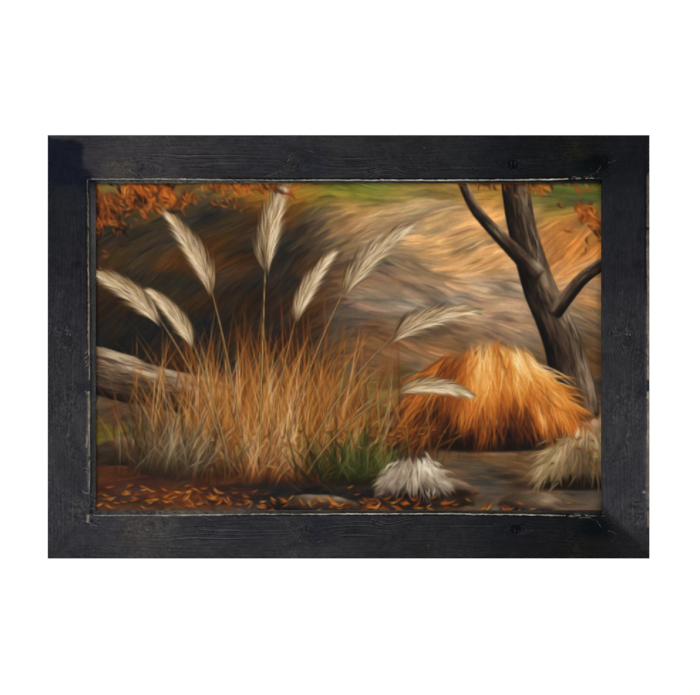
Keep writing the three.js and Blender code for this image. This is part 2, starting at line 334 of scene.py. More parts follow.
# marks that a pair of rails shares, cut from one length of board: (along, across) in mm.
# A stroke is a raised, paler line with a dark one beside it: pale, dark, then its path's points.
longBoard = dict(
    seed=11,
    knots=[
        dict(along=106, across=37.5, size=7, stretch=2, dark=0.16, lean=0.5,
             cracks=[(-5, 1.5, -1, 5), (1.6, -3.4, 2.6, 0.6), (-1, 0.4, 1.2, 3.2)]),
        dict(along=529.5, across=33.8, size=6.4, stretch=2.3, dark=0.95, lean=0,
             cracks=[
                 (-3.6, -3.8, -5, 0, -3.4, 3.9), (-1.2, -4.4, -1.9, 0.2, -0.6, 4.2),
                 (1.9, -4.2, 2.6, 0.4, 1.5, 4.4), (4.6, -2.4, 5.2, 1, 3.6, 3.8)]),
        dict(along=121, across=40, size=3.6, stretch=1.5, dark=0.1, lean=0.3, cracks=[])],
    arches=[
        spot(385, 50, 15, 13, 11), spot(278, 30, 10, 14, -7), spot(306, 28, 14, 10, 4),
        spot(622, 34, 14, 12, 6)],
    figure=[
        spot(190, 30, 72, 10, 1.15), spot(345, 33, 38, 11, 1.1),
        spot(385, 42, 20, 10, 1.5), spot(452, 37, 52, 6, 0.9),
        spot(600, 16, 16, 18, 0.9), spot(560, 40, 30, 7, 0.5)],
    strokes=[
        (0.6, 0.5, 91, 38.4, 96, 43, 101, 46, 106, 50.6), (0.5, 0.7, 97, 37, 102, 42, 109, 49),
        (0, 0.9, 99, 46, 106, 54), (0, 0.8, 103, 46, 110, 54),
        (0.45, 0.5, 121, 36, 127, 39, 126, 44, 121, 47), (0.3, 0.3, 118, 39, 121, 42, 119, 45),
        (0.7, 0, 83, 26.6, 91, 25.4), (0.35, 0.3, 159, 38, 173, 43), (0.6, 0.4, 160, 50, 168, 47, 178, 43),
        (0.2, 1, 207, 46.5, 212, 49, 218, 53), (0, 0.8, 213, 47, 219, 51, 223, 53),
        (0.85, 0.7, 273.5, 30.5, 275.5, 25.5, 279, 20), (0.5, 0.55, 268.5, 33, 271.5, 27.5, 275, 23),
        (0.45, 0.4, 277, 23, 282, 20, 289, 20), (0.5, 0, 252, 47, 259, 43, 267, 40),
        (0.4, 0.1, 268, 37, 275, 33, 282, 32), (0.2, 0.5, 276, 36, 283, 43),
        (0.5, 0.2, 244, 50, 251, 46.5, 257, 44.5), (0.35, 0.3, 258, 41, 266, 38, 273, 33),
        (0.5, 0.5, 276, 31, 279, 26, 282, 22.5), (0, 0.7, 374, 50, 381, 52, 388, 50.5),
        (0, 0.6, 378, 46.5, 384, 48.4, 391, 48), (0.5, 0.4, 296, 18, 302, 20, 309, 23),
        (0.3, 0.3, 289, 28, 296, 29, 303, 28), (0.45, 0.4, 300, 33, 308, 37, 322, 38),
        (0.35, 0.3, 318, 28, 332, 29, 342, 28), (0.5, 0.5, 395, 37, 400, 39, 405, 42, 413, 43),
        (0.35, 0.35, 392, 40, 400, 44, 410, 46), (0.38, 0.5, 404, 36.5, 430, 37.6, 462, 38.6, 498, 38),
        (0.2, 0.3, 420, 33, 450, 34, 482, 35), (0.35, 0.5, 512, 33, 508, 37, 504, 42),
        (0.2, 0.3, 517, 30, 511, 32, 502, 33), (0.5, 0.7, 618, 46, 626, 42, 630, 36),
        (0.2, 0.6, 622, 47, 631, 42, 634, 37), (0.6, 0.4, 639, 32, 648, 29),
        (0, 0.9, 615, 27, 620, 31, 629, 35), (0, 0.9, 628, 24, 630, 29, 631, 35),
        (0, 0.6, 610, 30, 618, 33, 627, 36), (0.8, 0, 528.4, 30.5, 528, 36.5),
        (0.7, 0, 532.5, 31, 532.8, 36), (0.3, 0.5, 277, 27, 281, 30, 286, 31, 292, 29),
        (0.25, 0.45, 279, 33, 284, 36, 291, 37, 298, 35), (0.25, 0.4, 284, 40, 291, 42, 299, 41),
        (0.3, 0.4, 283, 22, 290, 24, 300, 24, 310, 26), (0.3, 0.45, 372, 44, 380, 41, 390, 41, 398, 44),
        (0.3, 0.4, 376, 48, 384, 45, 392, 46), (0.25, 0.4, 366, 40, 376, 37, 390, 36.5),
        (0.2, 0.45, 116, 36, 121, 38.5, 122, 43, 118, 46),
        (0.25, 0.4, 140, 33, 165, 31, 190, 33.5, 215, 33),
        (0.2, 0.45, 150, 37, 180, 36, 205, 38.5, 232, 38),
        (0.2, 0.4, 172, 41, 200, 41.5, 225, 43.5, 250, 42.5), (0, 0.45, 598, 25, 606, 28, 618, 29),
        (0.25, 0, 70, 46, 76, 45, 83, 46), (0.2, 0, 52, 37, 62, 36),
        (0.25, 0.1, 588, 24, 596, 25, 604, 24)],
    flecks=[(95, 12, 0.4), (429, 15, 0.7), (127, 13, 0.35), (643, 20, 0.3), (537, 29, 0.4), (538, 36, 0.3)],
    mottles=[
        spot(82, 38, 19, 11, 0.16, grain=(3.1, 2.6)),
        spot(370, 42, 10, 7, 0.42, grain=(2.2, 1.9)),
        spot(600, 14, 11, 16, 0.2, grain=(2.6, 3)),
        spot(590, 26, 22, 12, 0.3, grain=(5.5, 1.9)),
        spot(285, 35, 14, 9, 0.3, grain=(2.4, 2)),
        spot(530, 35, 14, 9, 0.25, grain=(2, 2.2))])
uprightBoard = dict(
    seed=23,
    knots=[
        dict(along=232.5, across=22.5, size=6.8, stretch=1.6, dark=0.15, lean=0.2,
             cracks=[(-3.5, 2.5, 0, 4.4)]),
        dict(along=346, across=25, size=3.4, stretch=1.5, dark=0.15, lean=0.2, cracks=[])],
    arches=[spot(240, 24, 50, 16, 4), spot(107, 44, 5, 5, -4)],
    figure=[
        spot(235, 22, 26, 14, 0.6), spot(150, 37, 60, 5, 0.4),
        spot(420, 22, 30, 18, 0.3)],
    strokes=[
        (0, 0.6, 111, 35.5, 128, 35, 148, 35.8), (0, 0.7, 104, 42, 107, 46, 110, 43),
        (0, 0.5, 221, 37.5, 240, 37, 260, 37.8), (0, 0.35, 143, 29, 146, 39),
        (0.5, 0.7, 250, 41, 254, 46, 258, 50), (0.5, 0.6, 255, 40, 259, 45, 263, 49),
        (0.3, 0.5, 247, 39, 252, 41), (0.35, 0.4, 226, 15, 222, 21, 224, 29),
        (0.3, 0.4, 236, 14, 240, 21, 238, 30), (0.6, 0.1, 405, 39, 408, 43, 407, 48),
        (0.2, 0.3, 404, 9, 408, 15, 411, 25), (0.5, 0.5, 451, 33, 453, 36, 451, 39),
        (0.4, 0.6, 440, 47, 443, 51, 441, 54), (0.4, 0.6, 428, 46, 433, 50, 437, 53),
        (0, 0.5, 412, 21, 411.5, 28), (0.45, 0.5, 418, 45, 422, 47, 426, 45),
        (0.3, 0.4, 424, 36, 428, 40, 431, 36)],
    flecks=[
        (227, 22, 1), (227.5, 25.5, 1), (308, 34, 0.5), (314, 23, 0.3), (349, 4, 0.6), (419, 13, 0.5),
        (420, 19, 0.3), (222, 4, 0.5), (228, 6, 0.4), (221, 10, 0.4)],
    mottles=[
        spot(225, 9, 6, 9, 0.55, grain=(1.9, 2.2)),
        spot(205, 20, 22, 14, 0.14, grain=(3.2, 2.6)),
        spot(175, 20, 14, 14, 0.2, grain=(3, 3.4)),
        spot(310, 16, 28, 22, 0.18, grain=(2.6, 2.2)),
        spot(430, 34, 18, 14, 0.3, grain=(2.2, 2.6))])

plainRail = dict(slide=[(0, 0)], mirror=None, lip=0, strokes=[], scuffs=[], mottles=[], reeds=[(0, 0)],
                 edgeStrip=0, rubbed=[], rubbedAt=0)
# a rail with a lip gives the lip's tone along it, set lighter as painted light, and the strength of a
# painted shadow of the step on the lip
boards = {}
boards["rail_top"] = dict(
    plainRail, marks=longBoard, lip=3.2, lipStops=(51.4, 54), ends=("topLeft", "topRight"), edgeStrip=4.4,
    nicks=0.5, gaps=[(593, 597)], ragged=(592, 634),
    ledgeRun=[
        (0, -0.5), (150, -0.4), (200, 0.3), (290, 0.8), (460, 0.8), (530, 0.5), (570, 0), (610, -1.3),
        (686, -1)],
    lipTone=[
        (0, 84, 82, 78), (230, 90, 88, 84), (300, 84, 80, 74), (460, 86, 83, 76), (500, 62, 60, 55),
        (560, 58, 57, 52), (600, 34, 34, 31), (686, 32, 32, 32)],
    lipLine=[(0, 0), (230, 0), (290, 0.4), (686, 0.5)],
    strokes=[
        (1.1, 0.3, 598, 47.5, 606, 48.6), (0.9, 0.3, 611, 47.4, 618, 48.2, 622, 47.6),
        (0.8, 0.3, 602, 51, 609, 51.6, 613, 50.8), (0.8, 0.3, 617, 51.4, 625, 50.4, 628, 48)],
    mottles=[spot(165, 52.4, 115, 2.6, 0.36, grain=(2.8, 1.1))], reeds=[(0, 0.1), (686, 0)],
    gritty=[(0, 0.3), (60, 0.5), (110, 0.8), (300, 0.7), (450, 0.6), (560, 0.5), (686, 0.5)],
    rim=[(0, 0), (110, 0.05), (190, 0.35), (686, 0.5)],
    wear=dict(
        amount=1, at=-0.75, width=1.05, rag=0.9,
        spread=[
            (0, 0.85), (120, 1), (175, 1.1), (243, 1), (247, 0.5), (251, 0.9), (297, 0.9), (300, 0.5),
            (303, 1), (686, 1)],
        fade=[
            (0, 0.82), (70, 0.92), (120, 1), (180, 0.93), (240, 0.72), (290, 0.98), (350, 1.02),
            (400, 1.18), (460, 1.1), (530, 1.04), (580, 1.22), (595, 0.8), (686, 0.8)],
        tone=(150, 145, 130), start=50, end=56, groove=-2.75, grooveFrom=190, grooveAmount=1.25),
    patches=[
        spot(0, 37, 41, 32.5, tone=(22, 26, 36), soft=0.12, square=9),
        spot(82, 38, 20, 12, tone=(70, 65, 62), soft=0.7),
        spot(302, 32, 17, 20, tone=(42, 42, 50), soft=0.6),
        spot(628, 32, 12, 10, tone=(6, 12, 15), soft=0.8),
        spot(618, 34, 18, 9, tone=(12, 18, 20), soft=0.9),
        spot(602, 14, 13, 16, tone=(29, 29, 25), soft=0.8)],
    tones=[
        (0, 50, 50, 54), (55, 52, 50, 54), (90, 60, 58, 60), (140, 54, 51, 54), (190, 46, 45, 48),
        (245, 43, 43, 47), (330, 45, 45, 47), (380, 40, 40, 43), (430, 40, 40, 42), (470, 36, 37, 39),
        (515, 28, 29, 33), (610, 23, 24, 24), (655, 25, 26, 30), (686, 25, 26, 31)])
boards["rail_bottom"] = dict(
    plainRail, marks=longBoard,
    slide=[(0, 13), (120, 13), (220, 10), (290, 9.5), (395, 5), (534, 4), (640, 0)],
    lip=2.9, lipStops=(50.8, 54), ends=("bottomLeft", "bottomRight"), nicks=0.5, gaps=[(590, 594)],
    ragged=(584, 634),
    ledgeRun=[
        (0, -1.8), (60, -1.8), (120, -1.9), (175, -1.3), (230, -0.7), (290, -0.4), (400, 0), (460, 0),
        (515, -0.8), (561, -1.4), (600, -2.4)],
    lipTone=[
        (0, 60, 58, 57), (110, 66, 64, 62), (170, 84, 80, 76), (210, 76, 73, 70), (260, 66, 64, 62),
        (550, 58, 56, 54), (590, 42, 42, 40), (686, 36, 36, 36)],
    lipLine=[(0, 0), (200, 0.1), (290, 0.45), (686, 0.55)],
    strokes=[
        (0.9, 0.3, 594, 47.6, 602, 48.4), (1.1, 0.3, 606, 46.6, 614, 47.4, 619, 46.8),
        (0.8, 0.3, 598, 51, 606, 51.8), (0.9, 0.3, 612, 51, 620, 50.2, 626, 48.4),
        (0.9, 0.6, 47.5, 41.8, 50.6, 38.9, 56, 37.8), (0, 0.9, 49.5, 43.6, 53.6, 41.2)],
    scuffs=[spot(45.6, 46.2, 2.4, 3, 1), spot(45.8, 42.6, 1.7, 2.4, 1)],
    mottles=[
        spot(52, 43, 6, 7, 0.5, grain=(1.5, 1.5)),
        spot(150, 52.4, 120, 2.6, 0.26, grain=(3.2, 1.2))],
    gritty=[(0, 0.8), (110, 0.8), (300, 0.7), (450, 0.6), (560, 0.5), (686, 0.6)],
    rim=[(0, 0.1), (180, 0.3), (520, 0.6), (686, 0.6)],
    wear=dict(
        amount=1, at=-0.75, width=1, rag=1.2,
        spread=[
            (0, 0.8), (120, 0.9), (170, 1.3), (200, 1.3), (240, 0.9), (262, 0.9), (266, 0.5), (270, 0.9),
            (330, 0.9), (350, 1.05), (460, 0.95), (540, 0.9), (561, 1.05), (686, 1)],
        fade=[
            (0, 0.9), (110, 0.97), (175, 0.93), (230, 0.9), (290, 0.94), (345, 1.16), (400, 1.12),
            (460, 1), (520, 1.18), (560, 1.05), (600, 0.75), (686, 0.75)],
        tone=(150, 144, 130), start=52, end=52, groove=-2.6, grooveFrom=220, grooveAmount=1.15),
    patches=[
        spot(108, 36, 26, 16, tone=(70, 66, 64), soft=0.8),
        spot(312, 34, 18, 18, tone=(43, 43, 51), soft=0.6),
        spot(624, 36, 22, 14, tone=(14, 19, 22), soft=0.9),
        spot(604, 10, 24, 13, tone=(30, 30, 26), soft=0.9)],
    tones=[
        (0, 54, 54, 59), (55, 54, 54, 59), (105, 66, 63, 63), (150, 53, 53, 55), (196, 49, 48, 52),
        (245, 47, 46, 50), (285, 51, 50, 53), (330, 48, 48, 50), (380, 43, 42, 45), (430, 44, 44, 46),
        (470, 40, 40, 42), (515, 32, 33, 37), (560, 29, 29, 33), (610, 24, 25, 26), (640, 28, 28, 30),
        (686, 33, 33, 35)])
boards["rail_left"] = dict(
    plainRail, marks=uprightBoard, lip=7.5, lipStops=(51.4, 50.8), ends=("topLeft", "bottomLeft"), nicks=0.8,
    gaps=[(279, 292), (366, 370.5), (408, 446)], ragged=(405, 446),
    rubbed=[(262, 276, 0.25), (300, 404, 0.42)], rubbedAt=-3,
    ledgeRun=[
        (0, -1.1), (52, -1), (75, -0.2), (150, 0), (190, 0.4), (235, 0.65), (265, 1), (300, 1.15),
        (483, 1.15)],
    lipTone=[(0, 40, 40, 42), (60, 50, 49, 51), (100, 64, 62, 63), (130, 58, 57, 58), (483, 56, 55, 57)],
    lipLine=[(0, 0.1), (483, 0)],
    strokes=[
        (1.3, 0.3, 246.5, 45.8, 249, 42.6), (1.3, 0.4, 251.5, 46.2, 254.6, 42),
        (1.2, 0.4, 256.6, 46, 259.6, 43), (1.1, 0.4, 261, 46.4, 263.6, 44),
        (1.3, 0.3, 291.8, 43.4, 296, 45.4), (1.3, 0.3, 294, 49.2, 297.6, 47.4),
        (1, 0.3, 327, 44.6, 331, 45.6), (1.2, 0.3, 378, 42.6, 380.4, 46),
        (1.1, 0.2, 383.4, 44.2, 386, 46.2), (1.4, 0.2, 404.8, 39.9, 407.4, 42, 408.4, 46, 406.6, 48.6),
        (0.9, 0.6, 415.4, 47.4, 419, 48.6, 422.6, 46.8), (0.5, 0.6, 417.4, 45, 420.8, 45.4)],
    scuffs=[
        spot(347.5, 44.9, 5.4, 1.3, 0.8), spot(352.8, 44.3, 3.4, 1.2, 0.7),
        spot(436.4, 46.6, 3.6, 1.9, 1), spot(434.4, 45.2, 2.2, 1.2, 0.8),
        spot(399, 46.8, 2.4, 1.1, 0.6)],
    mottles=[spot(426, 52, 24, 4.5, 0.5, grain=(1.5, 1.4))],
    reeds=[(0, 0.2), (120, 0.26), (483, 0.26)],
    gritty=[(0, 0.3), (60, 0.4), (200, 0.5), (240, 0.9), (300, 1), (483, 1)], rim=[(0, 0.4), (483, 0.3)],
    wear=dict(
        amount=1, at=-0.95, width=1.4, rag=1.1,
        spread=[
            (0, 0.5), (104, 0.55), (106, 0.25), (110, 0.55), (160, 0.7), (190, 0.85), (240, 0.95),
            (262, 0.9), (276, 0.7), (294, 1.4), (330, 1.25), (358, 1), (376, 0.7), (400, 0.72), (483, 0.7)],
        fade=[
            (0, 0.66), (70, 0.7), (120, 0.82), (180, 0.9), (240, 0.92), (300, 0.98), (350, 0.93),
            (483, 0.85)],
        tone=(136, 122, 106), start=51, end=40, groove=-3.6, grooveFrom=0, grooveUntil=(190, 260),
        grooveAmount=0.75),
    patches=[
        spot(24, 24, 33, 60, tone=(22, 26, 36), soft=0.14, square=9),
        spot(147, 35, 5, 7, tone=(28, 28, 32), soft=0.9),
        spot(172, 22, 12, 14, tone=(42, 40, 44), soft=0.8),
        spot(290, 41, 9, 8, tone=(42, 42, 50), soft=0.9),
        spot(427, 38, 14, 10, tone=(62, 61, 60), soft=0.9)],
    tones=[
        (0, 26, 29, 38), (50, 26, 29, 38), (74, 32, 33, 38), (120, 34, 35, 39), (165, 37, 36, 41),
        (211, 47, 46, 51), (256, 49, 49, 51), (302, 51, 51, 53), (348, 55, 55, 57), (393, 54, 54, 58),
        (439, 56, 55, 60), (483, 55, 55, 60)])
boards["rail_right"] = dict(
    plainRail, marks=uprightBoard, mirror=47.95, ends=("topRight", "bottomRight"), nicks=0.8,
    gaps=[(105, 108), (279, 292), (424, 428)], ragged=(180, 446), rubbed=[(180, 440, 0.3)], rubbedAt=3.4,
    scuffs=[spot(407, 6.2, 2, 2.6, 0.8), spot(398.6, 3.4, 2.2, 1, 0.6)],
    gritty=[(0, 0.5), (60, 0.4), (200, 0.5), (240, 0.9), (300, 1), (483, 1)], rim=[(0, 0.3), (483, 0.3)],
    wear=dict(
        amount=0.95, at=1.3, width=1.6, rag=1, spread=[(0, 1.15), (130, 1.1), (180, 1), (483, 0.95)],
        fade=[
            (0, 0.72), (110, 0.76), (150, 0.95), (180, 1), (260, 1.06), (300, 1.22), (350, 1.16),
            (380, 0.98), (400, 0.9), (483, 0.85)],
        tone=(108, 100, 90), start=44, end=36, groove=4.75, grooveFrom=-20, grooveUntil=(150, 210),
        grooveAmount=1.1),
    patches=[
        spot(290, 8, 10, 9, tone=(42, 42, 50), soft=0.9),
        spot(172, 26, 12, 14, tone=(42, 40, 44), soft=0.8),
        spot(147, 13, 5, 7, tone=(28, 28, 32), soft=0.9),
        spot(430, 22, 22, 18, tone=(56, 55, 58), soft=0.9)],
    tones=[
        (0, 24, 25, 30), (40, 25, 26, 31), (74, 32, 33, 38), (120, 34, 35, 39), (165, 37, 36, 41),
        (211, 49, 49, 52), (256, 49, 49, 51), (302, 52, 52, 54), (348, 56, 56, 58), (393, 54, 53, 58),
        (430, 55, 54, 58), (452, 49, 49, 52), (483, 39, 39, 42)])


def arc(centre, radius, start, end, count):
    angles = np.radians(np.linspace(start, end, count + 1))
    return [(centre[0] + radius * math.cos(t), centre[1] + radius * math.sin(t)) for t in angles]


def run(start, end, spacing):
    count = max(1, round(math.dist(start, end) / spacing))
    return [(start[0] + (end[0] - start[0]) * k / count, start[1] + (end[1] - start[1]) * k / count)
            for k in range(1, count)]


# once round a rail's section from its outer back edge: (part, across, deep)
def railOutline(width, depth, lip):
    s = timber
    wall, sight, ease, cove = width - s["rabbet"], width - s["sightEase"], s["outerEase"], 0.5
    points = []

    def add(part, more):
        points.extend((part, *p) for p in more)

    add("side", [(0, 0)] + run((0, 0), (0, depth - ease), s["sideColumn"]))
    add("arris", arc((ease, depth - ease), ease, 180, 90, 5))
    front = depth
    if lip:
        at, r, front = width - lip, s["stepEase"], depth - s["lipDrop"]
        add("face", run((ease, depth), (at - r, depth), s["column"]))
        add("step", arc((at - r, depth - r), r, 90, 0, 5))
        add("step", run((at, depth - r), (at, front + cove), s["stepColumn"]))
        add("step", arc((at + cove, front + cove), cove, 180, 270, 2))
        add("lip", run((at + cove, front), (sight, front - s["lipFall"]), s["column"]))
        front -= s["lipFall"]
    else:
        add("face", run((ease, depth), (sight, depth), s["column"]))
    add("lip", arc((sight, front - s["sightEase"]), s["sightEase"], 90, 0, 4))
    add("lip", run((width, front - s["sightEase"]), (width, s["ledge"]), s["sightColumn"]))
    across, down = s["rabbetColumns"]
    add("rabbet", [(width, s["ledge"])] + run((width, s["ledge"]), (wall, s["ledge"]), across))
    add("rabbet", [(wall, s["ledge"])] + run((wall, s["ledge"]), (wall, 0), down))
    add("back", [(wall, 0)] + run((wall, 0), (0, 0), s["backColumn"]))
    return np.array([p[0] for p in points]), np.array([p[1:] for p in points])


# how far each point of the section moves when the ledge's edge moves by one
def ledgeSlide(parts, across, width, lip):
    at = width - lip - timber["stepEase"]
    low, high = timber["outerEase"], width - timber["sightEase"]
    slide = np.where(parts == "face", (across - low) / (at - low), 0.0)
    slide = np.where(parts == "step", 1.0, slide)
    return np.where((parts == "lip") & (across < high), (high - across) / (high - at), slide)


def inRagged(board, t):
    return window(t, *board["ragged"], 6, 4)


# the ledge's edge along the rail: hand-worn, and turned out to the mitre where the ledge stops
def ledgeShift(board, t, length, width):
    base, blend = width - board["lip"], timber["mitreBlend"]
    wave = Noise(board["marks"]["seed"] + 40 + round(10 * board["lip"]))
    edge = base + follow(board["ledgeRun"], t) + 0.5 * (wave(t / 37, 1.0, 2) - 0.5)
    edge += 0.5 * (wave(t / 11, 5.0) - 0.5)
    edge += (0.2 + 1.1 * inRagged(board, t)) * (wave(t / 4.3, 7.0, 3) - 0.5)
    for stop, near in zip(board["lipStops"], (t, length - t)):
        stop = min(stop, width - timber["sightEase"] - 0.1)
        turn = (stop - base + 0.4) / (1 - base / blend)
        out = stop + 0.4 * unit(near / max(turn, 0.1)) - near
        out /= 1 - np.minimum(near, blend - 1) / blend
        edge = np.where((near < turn) & (out > base), np.maximum(base, out), edge)
    return edge - base


# squared distance from a bent line, and the side of it
def nearPath(along, across, path):
    best, side = np.full(along.shape, 1e6), np.zeros(along.shape)
    for (ax, ay), (bx, by) in zip(path, path[1:]):
        dx, dy = bx - ax, by - ay
        t = unit(((along - ax) * dx + (across - ay) * dy) / (dx * dx + dy * dy))
        ox, oy = along - ax - t * dx, across - ay - t * dy
        far = ox * ox + oy * oy
        side = np.where(far < best, np.sign(dx * oy - dy * ox), side)
        best = np.minimum(best, far)
    return best, side


# the points of a path that a table writes in one row
def pointsOf(row):
    return list(zip(row[::2], row[1::2]))


# how far from a spot's middle each point is, as a share of the spot's reach, squared
def reachOf(spot, along, across):
    return ((along - spot["along"]) / spot["wide"]) ** 2 + ((across - spot["across"]) / spot["deep"]) ** 2


# where the board's marks fall on this rail: slid along it, and turned over where mirror says
def onBoard(board, along, across):
    turned = board["mirror"] - across if board["mirror"] else across
    return along - follow(board["slide"], along), turned


# growth rings as the number of rings in from the outer edge, bent round the knots
def ringField(marks, along, across):
    wobble, drift, spread = (Noise(marks["seed"] + k) for k in range(3))
    field = across + 10 * (wobble(along / 190, across / 70) - 0.5)
    field += 2.6 * (drift(along / 55, across / 16) - 0.5)
    for arch in marks["arches"]:
        field += arch["amount"] * np.exp(-reachOf(arch, along, across))
    heart, halo = np.zeros_like(along), np.zeros_like(along)
    for knot in marks["knots"]:
        x, y = along - knot["along"], across - knot["across"]
        far = np.sqrt((x / knot["stretch"]) ** 2 + y ** 2) / knot["size"]
        near = np.sqrt((x / 1.2) ** 2 + y ** 2 + knot["lean"] * x * y) / knot["size"]
        field -= y * unit(1 / np.maximum(far, 0.2) ** 2) * smooth(0.7, 1.1, far)
        inside = 1 - smooth(0.8, 1.0, near)
        field = field * (1 - inside) + inside * (knot["across"] + 2.4 * knot["size"] * near)
        heart = np.maximum(heart, knot["dark"] * (1 - smooth(0.6, 0.95, near)))
        halo = np.maximum(halo, np.exp(-((near - 1.15) / 0.35) ** 2))
    return field / timber["ringSpacing"] + 0.9 * (spread(along / 420, field / 9) - 0.5), heart, halo


def knotCracks(marks, along, across):
    dark = np.zeros_like(along)
    for knot in marks["knots"]:
        for path in knot["cracks"]:
            placed = [(knot["along"] + x, knot["across"] + y) for x, y in pointsOf(path)]
            dark = np.maximum(dark, np.exp(-nearPath(along, across, placed)[0] / 0.75))
    return dark


# how cracked each point of the paint is, and how far it is chipped away
def brokenPaint(board, along, across, heart, halo):
    marks = board["marks"]
    slid, turned = onBoard(board, along, across)
    patch, fibre, dent, ragged = (Noise(marks["seed"] + k) for k in (3, 4, 5, 6))
    # strokes wander a little off their paths and fade in and out
    shakeA = ragged(along / 3.1, across / 3.1, 2) - 0.5
    shakeB = dent(along / 2.7, across / 2.7 + 9, 2) - 0.5
    atA, atB = slid + 1.5 * shakeA, turned + 1.5 * shakeB
    broken = np.clip(1.9 * fibre(along / 2.0, across / 2.0 + 3, 2) - 0.15, 0.1, 1.1)
    crack = np.clip(0.35 + 2 * heart, 0, 0.9) * knotCracks(marks, atA, atB)
    chip = np.zeros_like(along)
    strokes = [(pale, dark, pointsOf(path)) for pale, dark, *path in marks["strokes"]]
    strokes += [(pale, dark, [(x - follow(board["slide"], x), y) for x, y in pointsOf(path)])
                for pale, dark, *path in board["strokes"]]
    for pale, dark, path in strokes:
        far, side = nearPath(atA, atB, path)
        gap = np.sqrt(far) * side
        chip = np.maximum(chip, 0.85 * pale * broken * np.exp(-(gap / 0.6) ** 2))
        crack = np.maximum(crack, dark * broken * np.exp(-((gap - (1.05 if pale else 0)) / 0.55) ** 2))
    for x, y, pale in marks["flecks"]:
        chip = np.maximum(chip, pale * np.exp(-((slid - x) / 1.1) ** 2 - ((turned - y) / 0.8) ** 2))
    # bare patches where a piece of the paint has come away
    for scuff in board["scuffs"]:
        reach = reachOf(scuff, along, across) + 1.1 * (shakeA + shakeB)
        chip = np.maximum(chip, 1.5 * scuff["amount"] * (1 - smooth(0.6, 1.3, reach)))
    # small nicks, drawn out along the grain, and a ring of them round each knot
    nicks = smooth(0.82, 0.93, dent(along / 3.6 + 30, across / 1.4, 2))
    nicks *= smooth(0.5, 0.75, patch(along / 40, across / 22 + 7))
    chip = np.maximum(chip, 0.22 * nicks * board["nicks"])
    return crack, np.maximum(chip, 0.16 * halo * smooth(0.55, 0.78, ragged(along / 2.4, across / 1.8)))


# how wide the paint is rubbed off along one arris, and the groove that runs beside it, sunk into the rail
# and painted dark as painted shade. The arris is the ledge's, or the outer one on the rail without a ledge.
def rubbedArris(board, along, across, parts, edgeGap, length, crack):
    wear, ragged = board["wear"], Noise(board["marks"]["seed"] + 6)
    amount = np.full(along.shape, float(wear["amount"]))
    for low, high in board["gaps"]:
        amount *= 1 - window(along, low - 0.2, high + 0.2, 1)
    amount *= window(along, wear["start"], length - wear["end"], 2)
    amount = amount * (0.7 + 0.6 * ragged(along / 11, 3.3, 3)) * follow(wear["spread"], along)
    amount *= 1 - 0.8 * unit(crack)
    amount *= 1 + wear["rag"] * (ragged(along / 2.3, across / 1.6 + 30, 2) - 0.5)
    sway = 0.5 * (ragged(along / 17, 5.0) - 0.5)
    beside = np.exp(-((edgeGap - wear["groove"] - sway) / 0.7) ** 2) * wear["grooveAmount"]
    beside *= smooth(wear["grooveFrom"] - 60, wear["grooveFrom"] + 60, along)
    beside *= unit(0.6 + 0.8 * ragged(along / 26, 9.0))
    beside *= 1 - 0.7 * inRagged(board, along)
    if "grooveUntil" in wear:
        beside *= 1 - smooth(*wear["grooveUntil"], along)
    return amount, beside * (1 - smooth(length - 56, length - 52, along)) * np.isin(parts, ["face", "step"])


def railFields(board, along, across, parts, edgeGap, length):
    marks, wear = board["marks"], board["wear"]
    slid, turned = onBoard(board, along, across)
    rings, heart, halo = ringField(marks, slid, turned)
    patch, fibre, dent, ragged = (Noise(marks["seed"] + k) for k in (3, 4, 5, 6))
    onFace = np.isin(parts, ["face", "step", "lip"])[None, :] * 1.0
    figure = 0.35 * smooth(0.35, 0.7, patch(slid / 60, turned / 12 + 40)) + 0.1
    for area in marks["figure"]:
        figure += area["amount"] * np.exp(-reachOf(area, slid, turned) ** 2)
    figure = np.clip(figure + 0.6 * halo, 0, 1.6)
    wave = np.sin(2 * math.pi * (rings - 0.11))
    lift = -relief["ring"] * (0.5 + 0.5 * wave) ** 2 * figure
    lift -= relief["fibre"] * fibre(along / 16, across * 1.1, 2)
    pits = smooth(0.74, 0.9, dent(along / 4.4, across / 2.0, 2))
    lift -= relief["dent"] * pits * smooth(0.45, 0.7, patch(along / 31, across / 20)) * onFace

    crack, chip = brokenPaint(board, along, across, heart, halo)
    amount, beside = rubbedArris(board, along, across, parts, edgeGap, length, crack)
    crack, chip = crack * onFace * smooth(0.3, 1.2, across), chip * onFace * smooth(1.5, 3.0, across)
    near = np.exp(-((edgeGap - wear["at"]) / (1.0 + wear["width"])) ** 2) * unit(amount)
    lift -= relief["wear"] * near * (0.3 + 0.7 * ragged(along / 1.9, across / 1.4, 2))
    lift -= relief["groove"] * beside + relief["chip"] * unit(chip) + relief["crack"] * crack
    lift -= relief["heart"] * heart * (0.5 + 0.5 * np.sin(2 * math.pi * rings))
    breaks = smooth(0.42, 0.6, dent(along / 5.0, 2.0, 2))
    if board["lip"]:
        amount *= 1 - inRagged(board, along) * breaks
    # the groove beside the arris joins the cracks' near-black: painted shade in the groove
    return dict(lift=lift, rings=rings, figure=figure, heart=heart, crack=unit(crack + beside),
                chip=np.clip(chip, 0, 1.5), wear=np.clip(amount, 0, 1.3) * wear["width"])


# lays a tone over another where the cover is near 1
def overlay(tone, colour, cover):
    return tone + (np.array(colour) - tone) * cover[..., None]


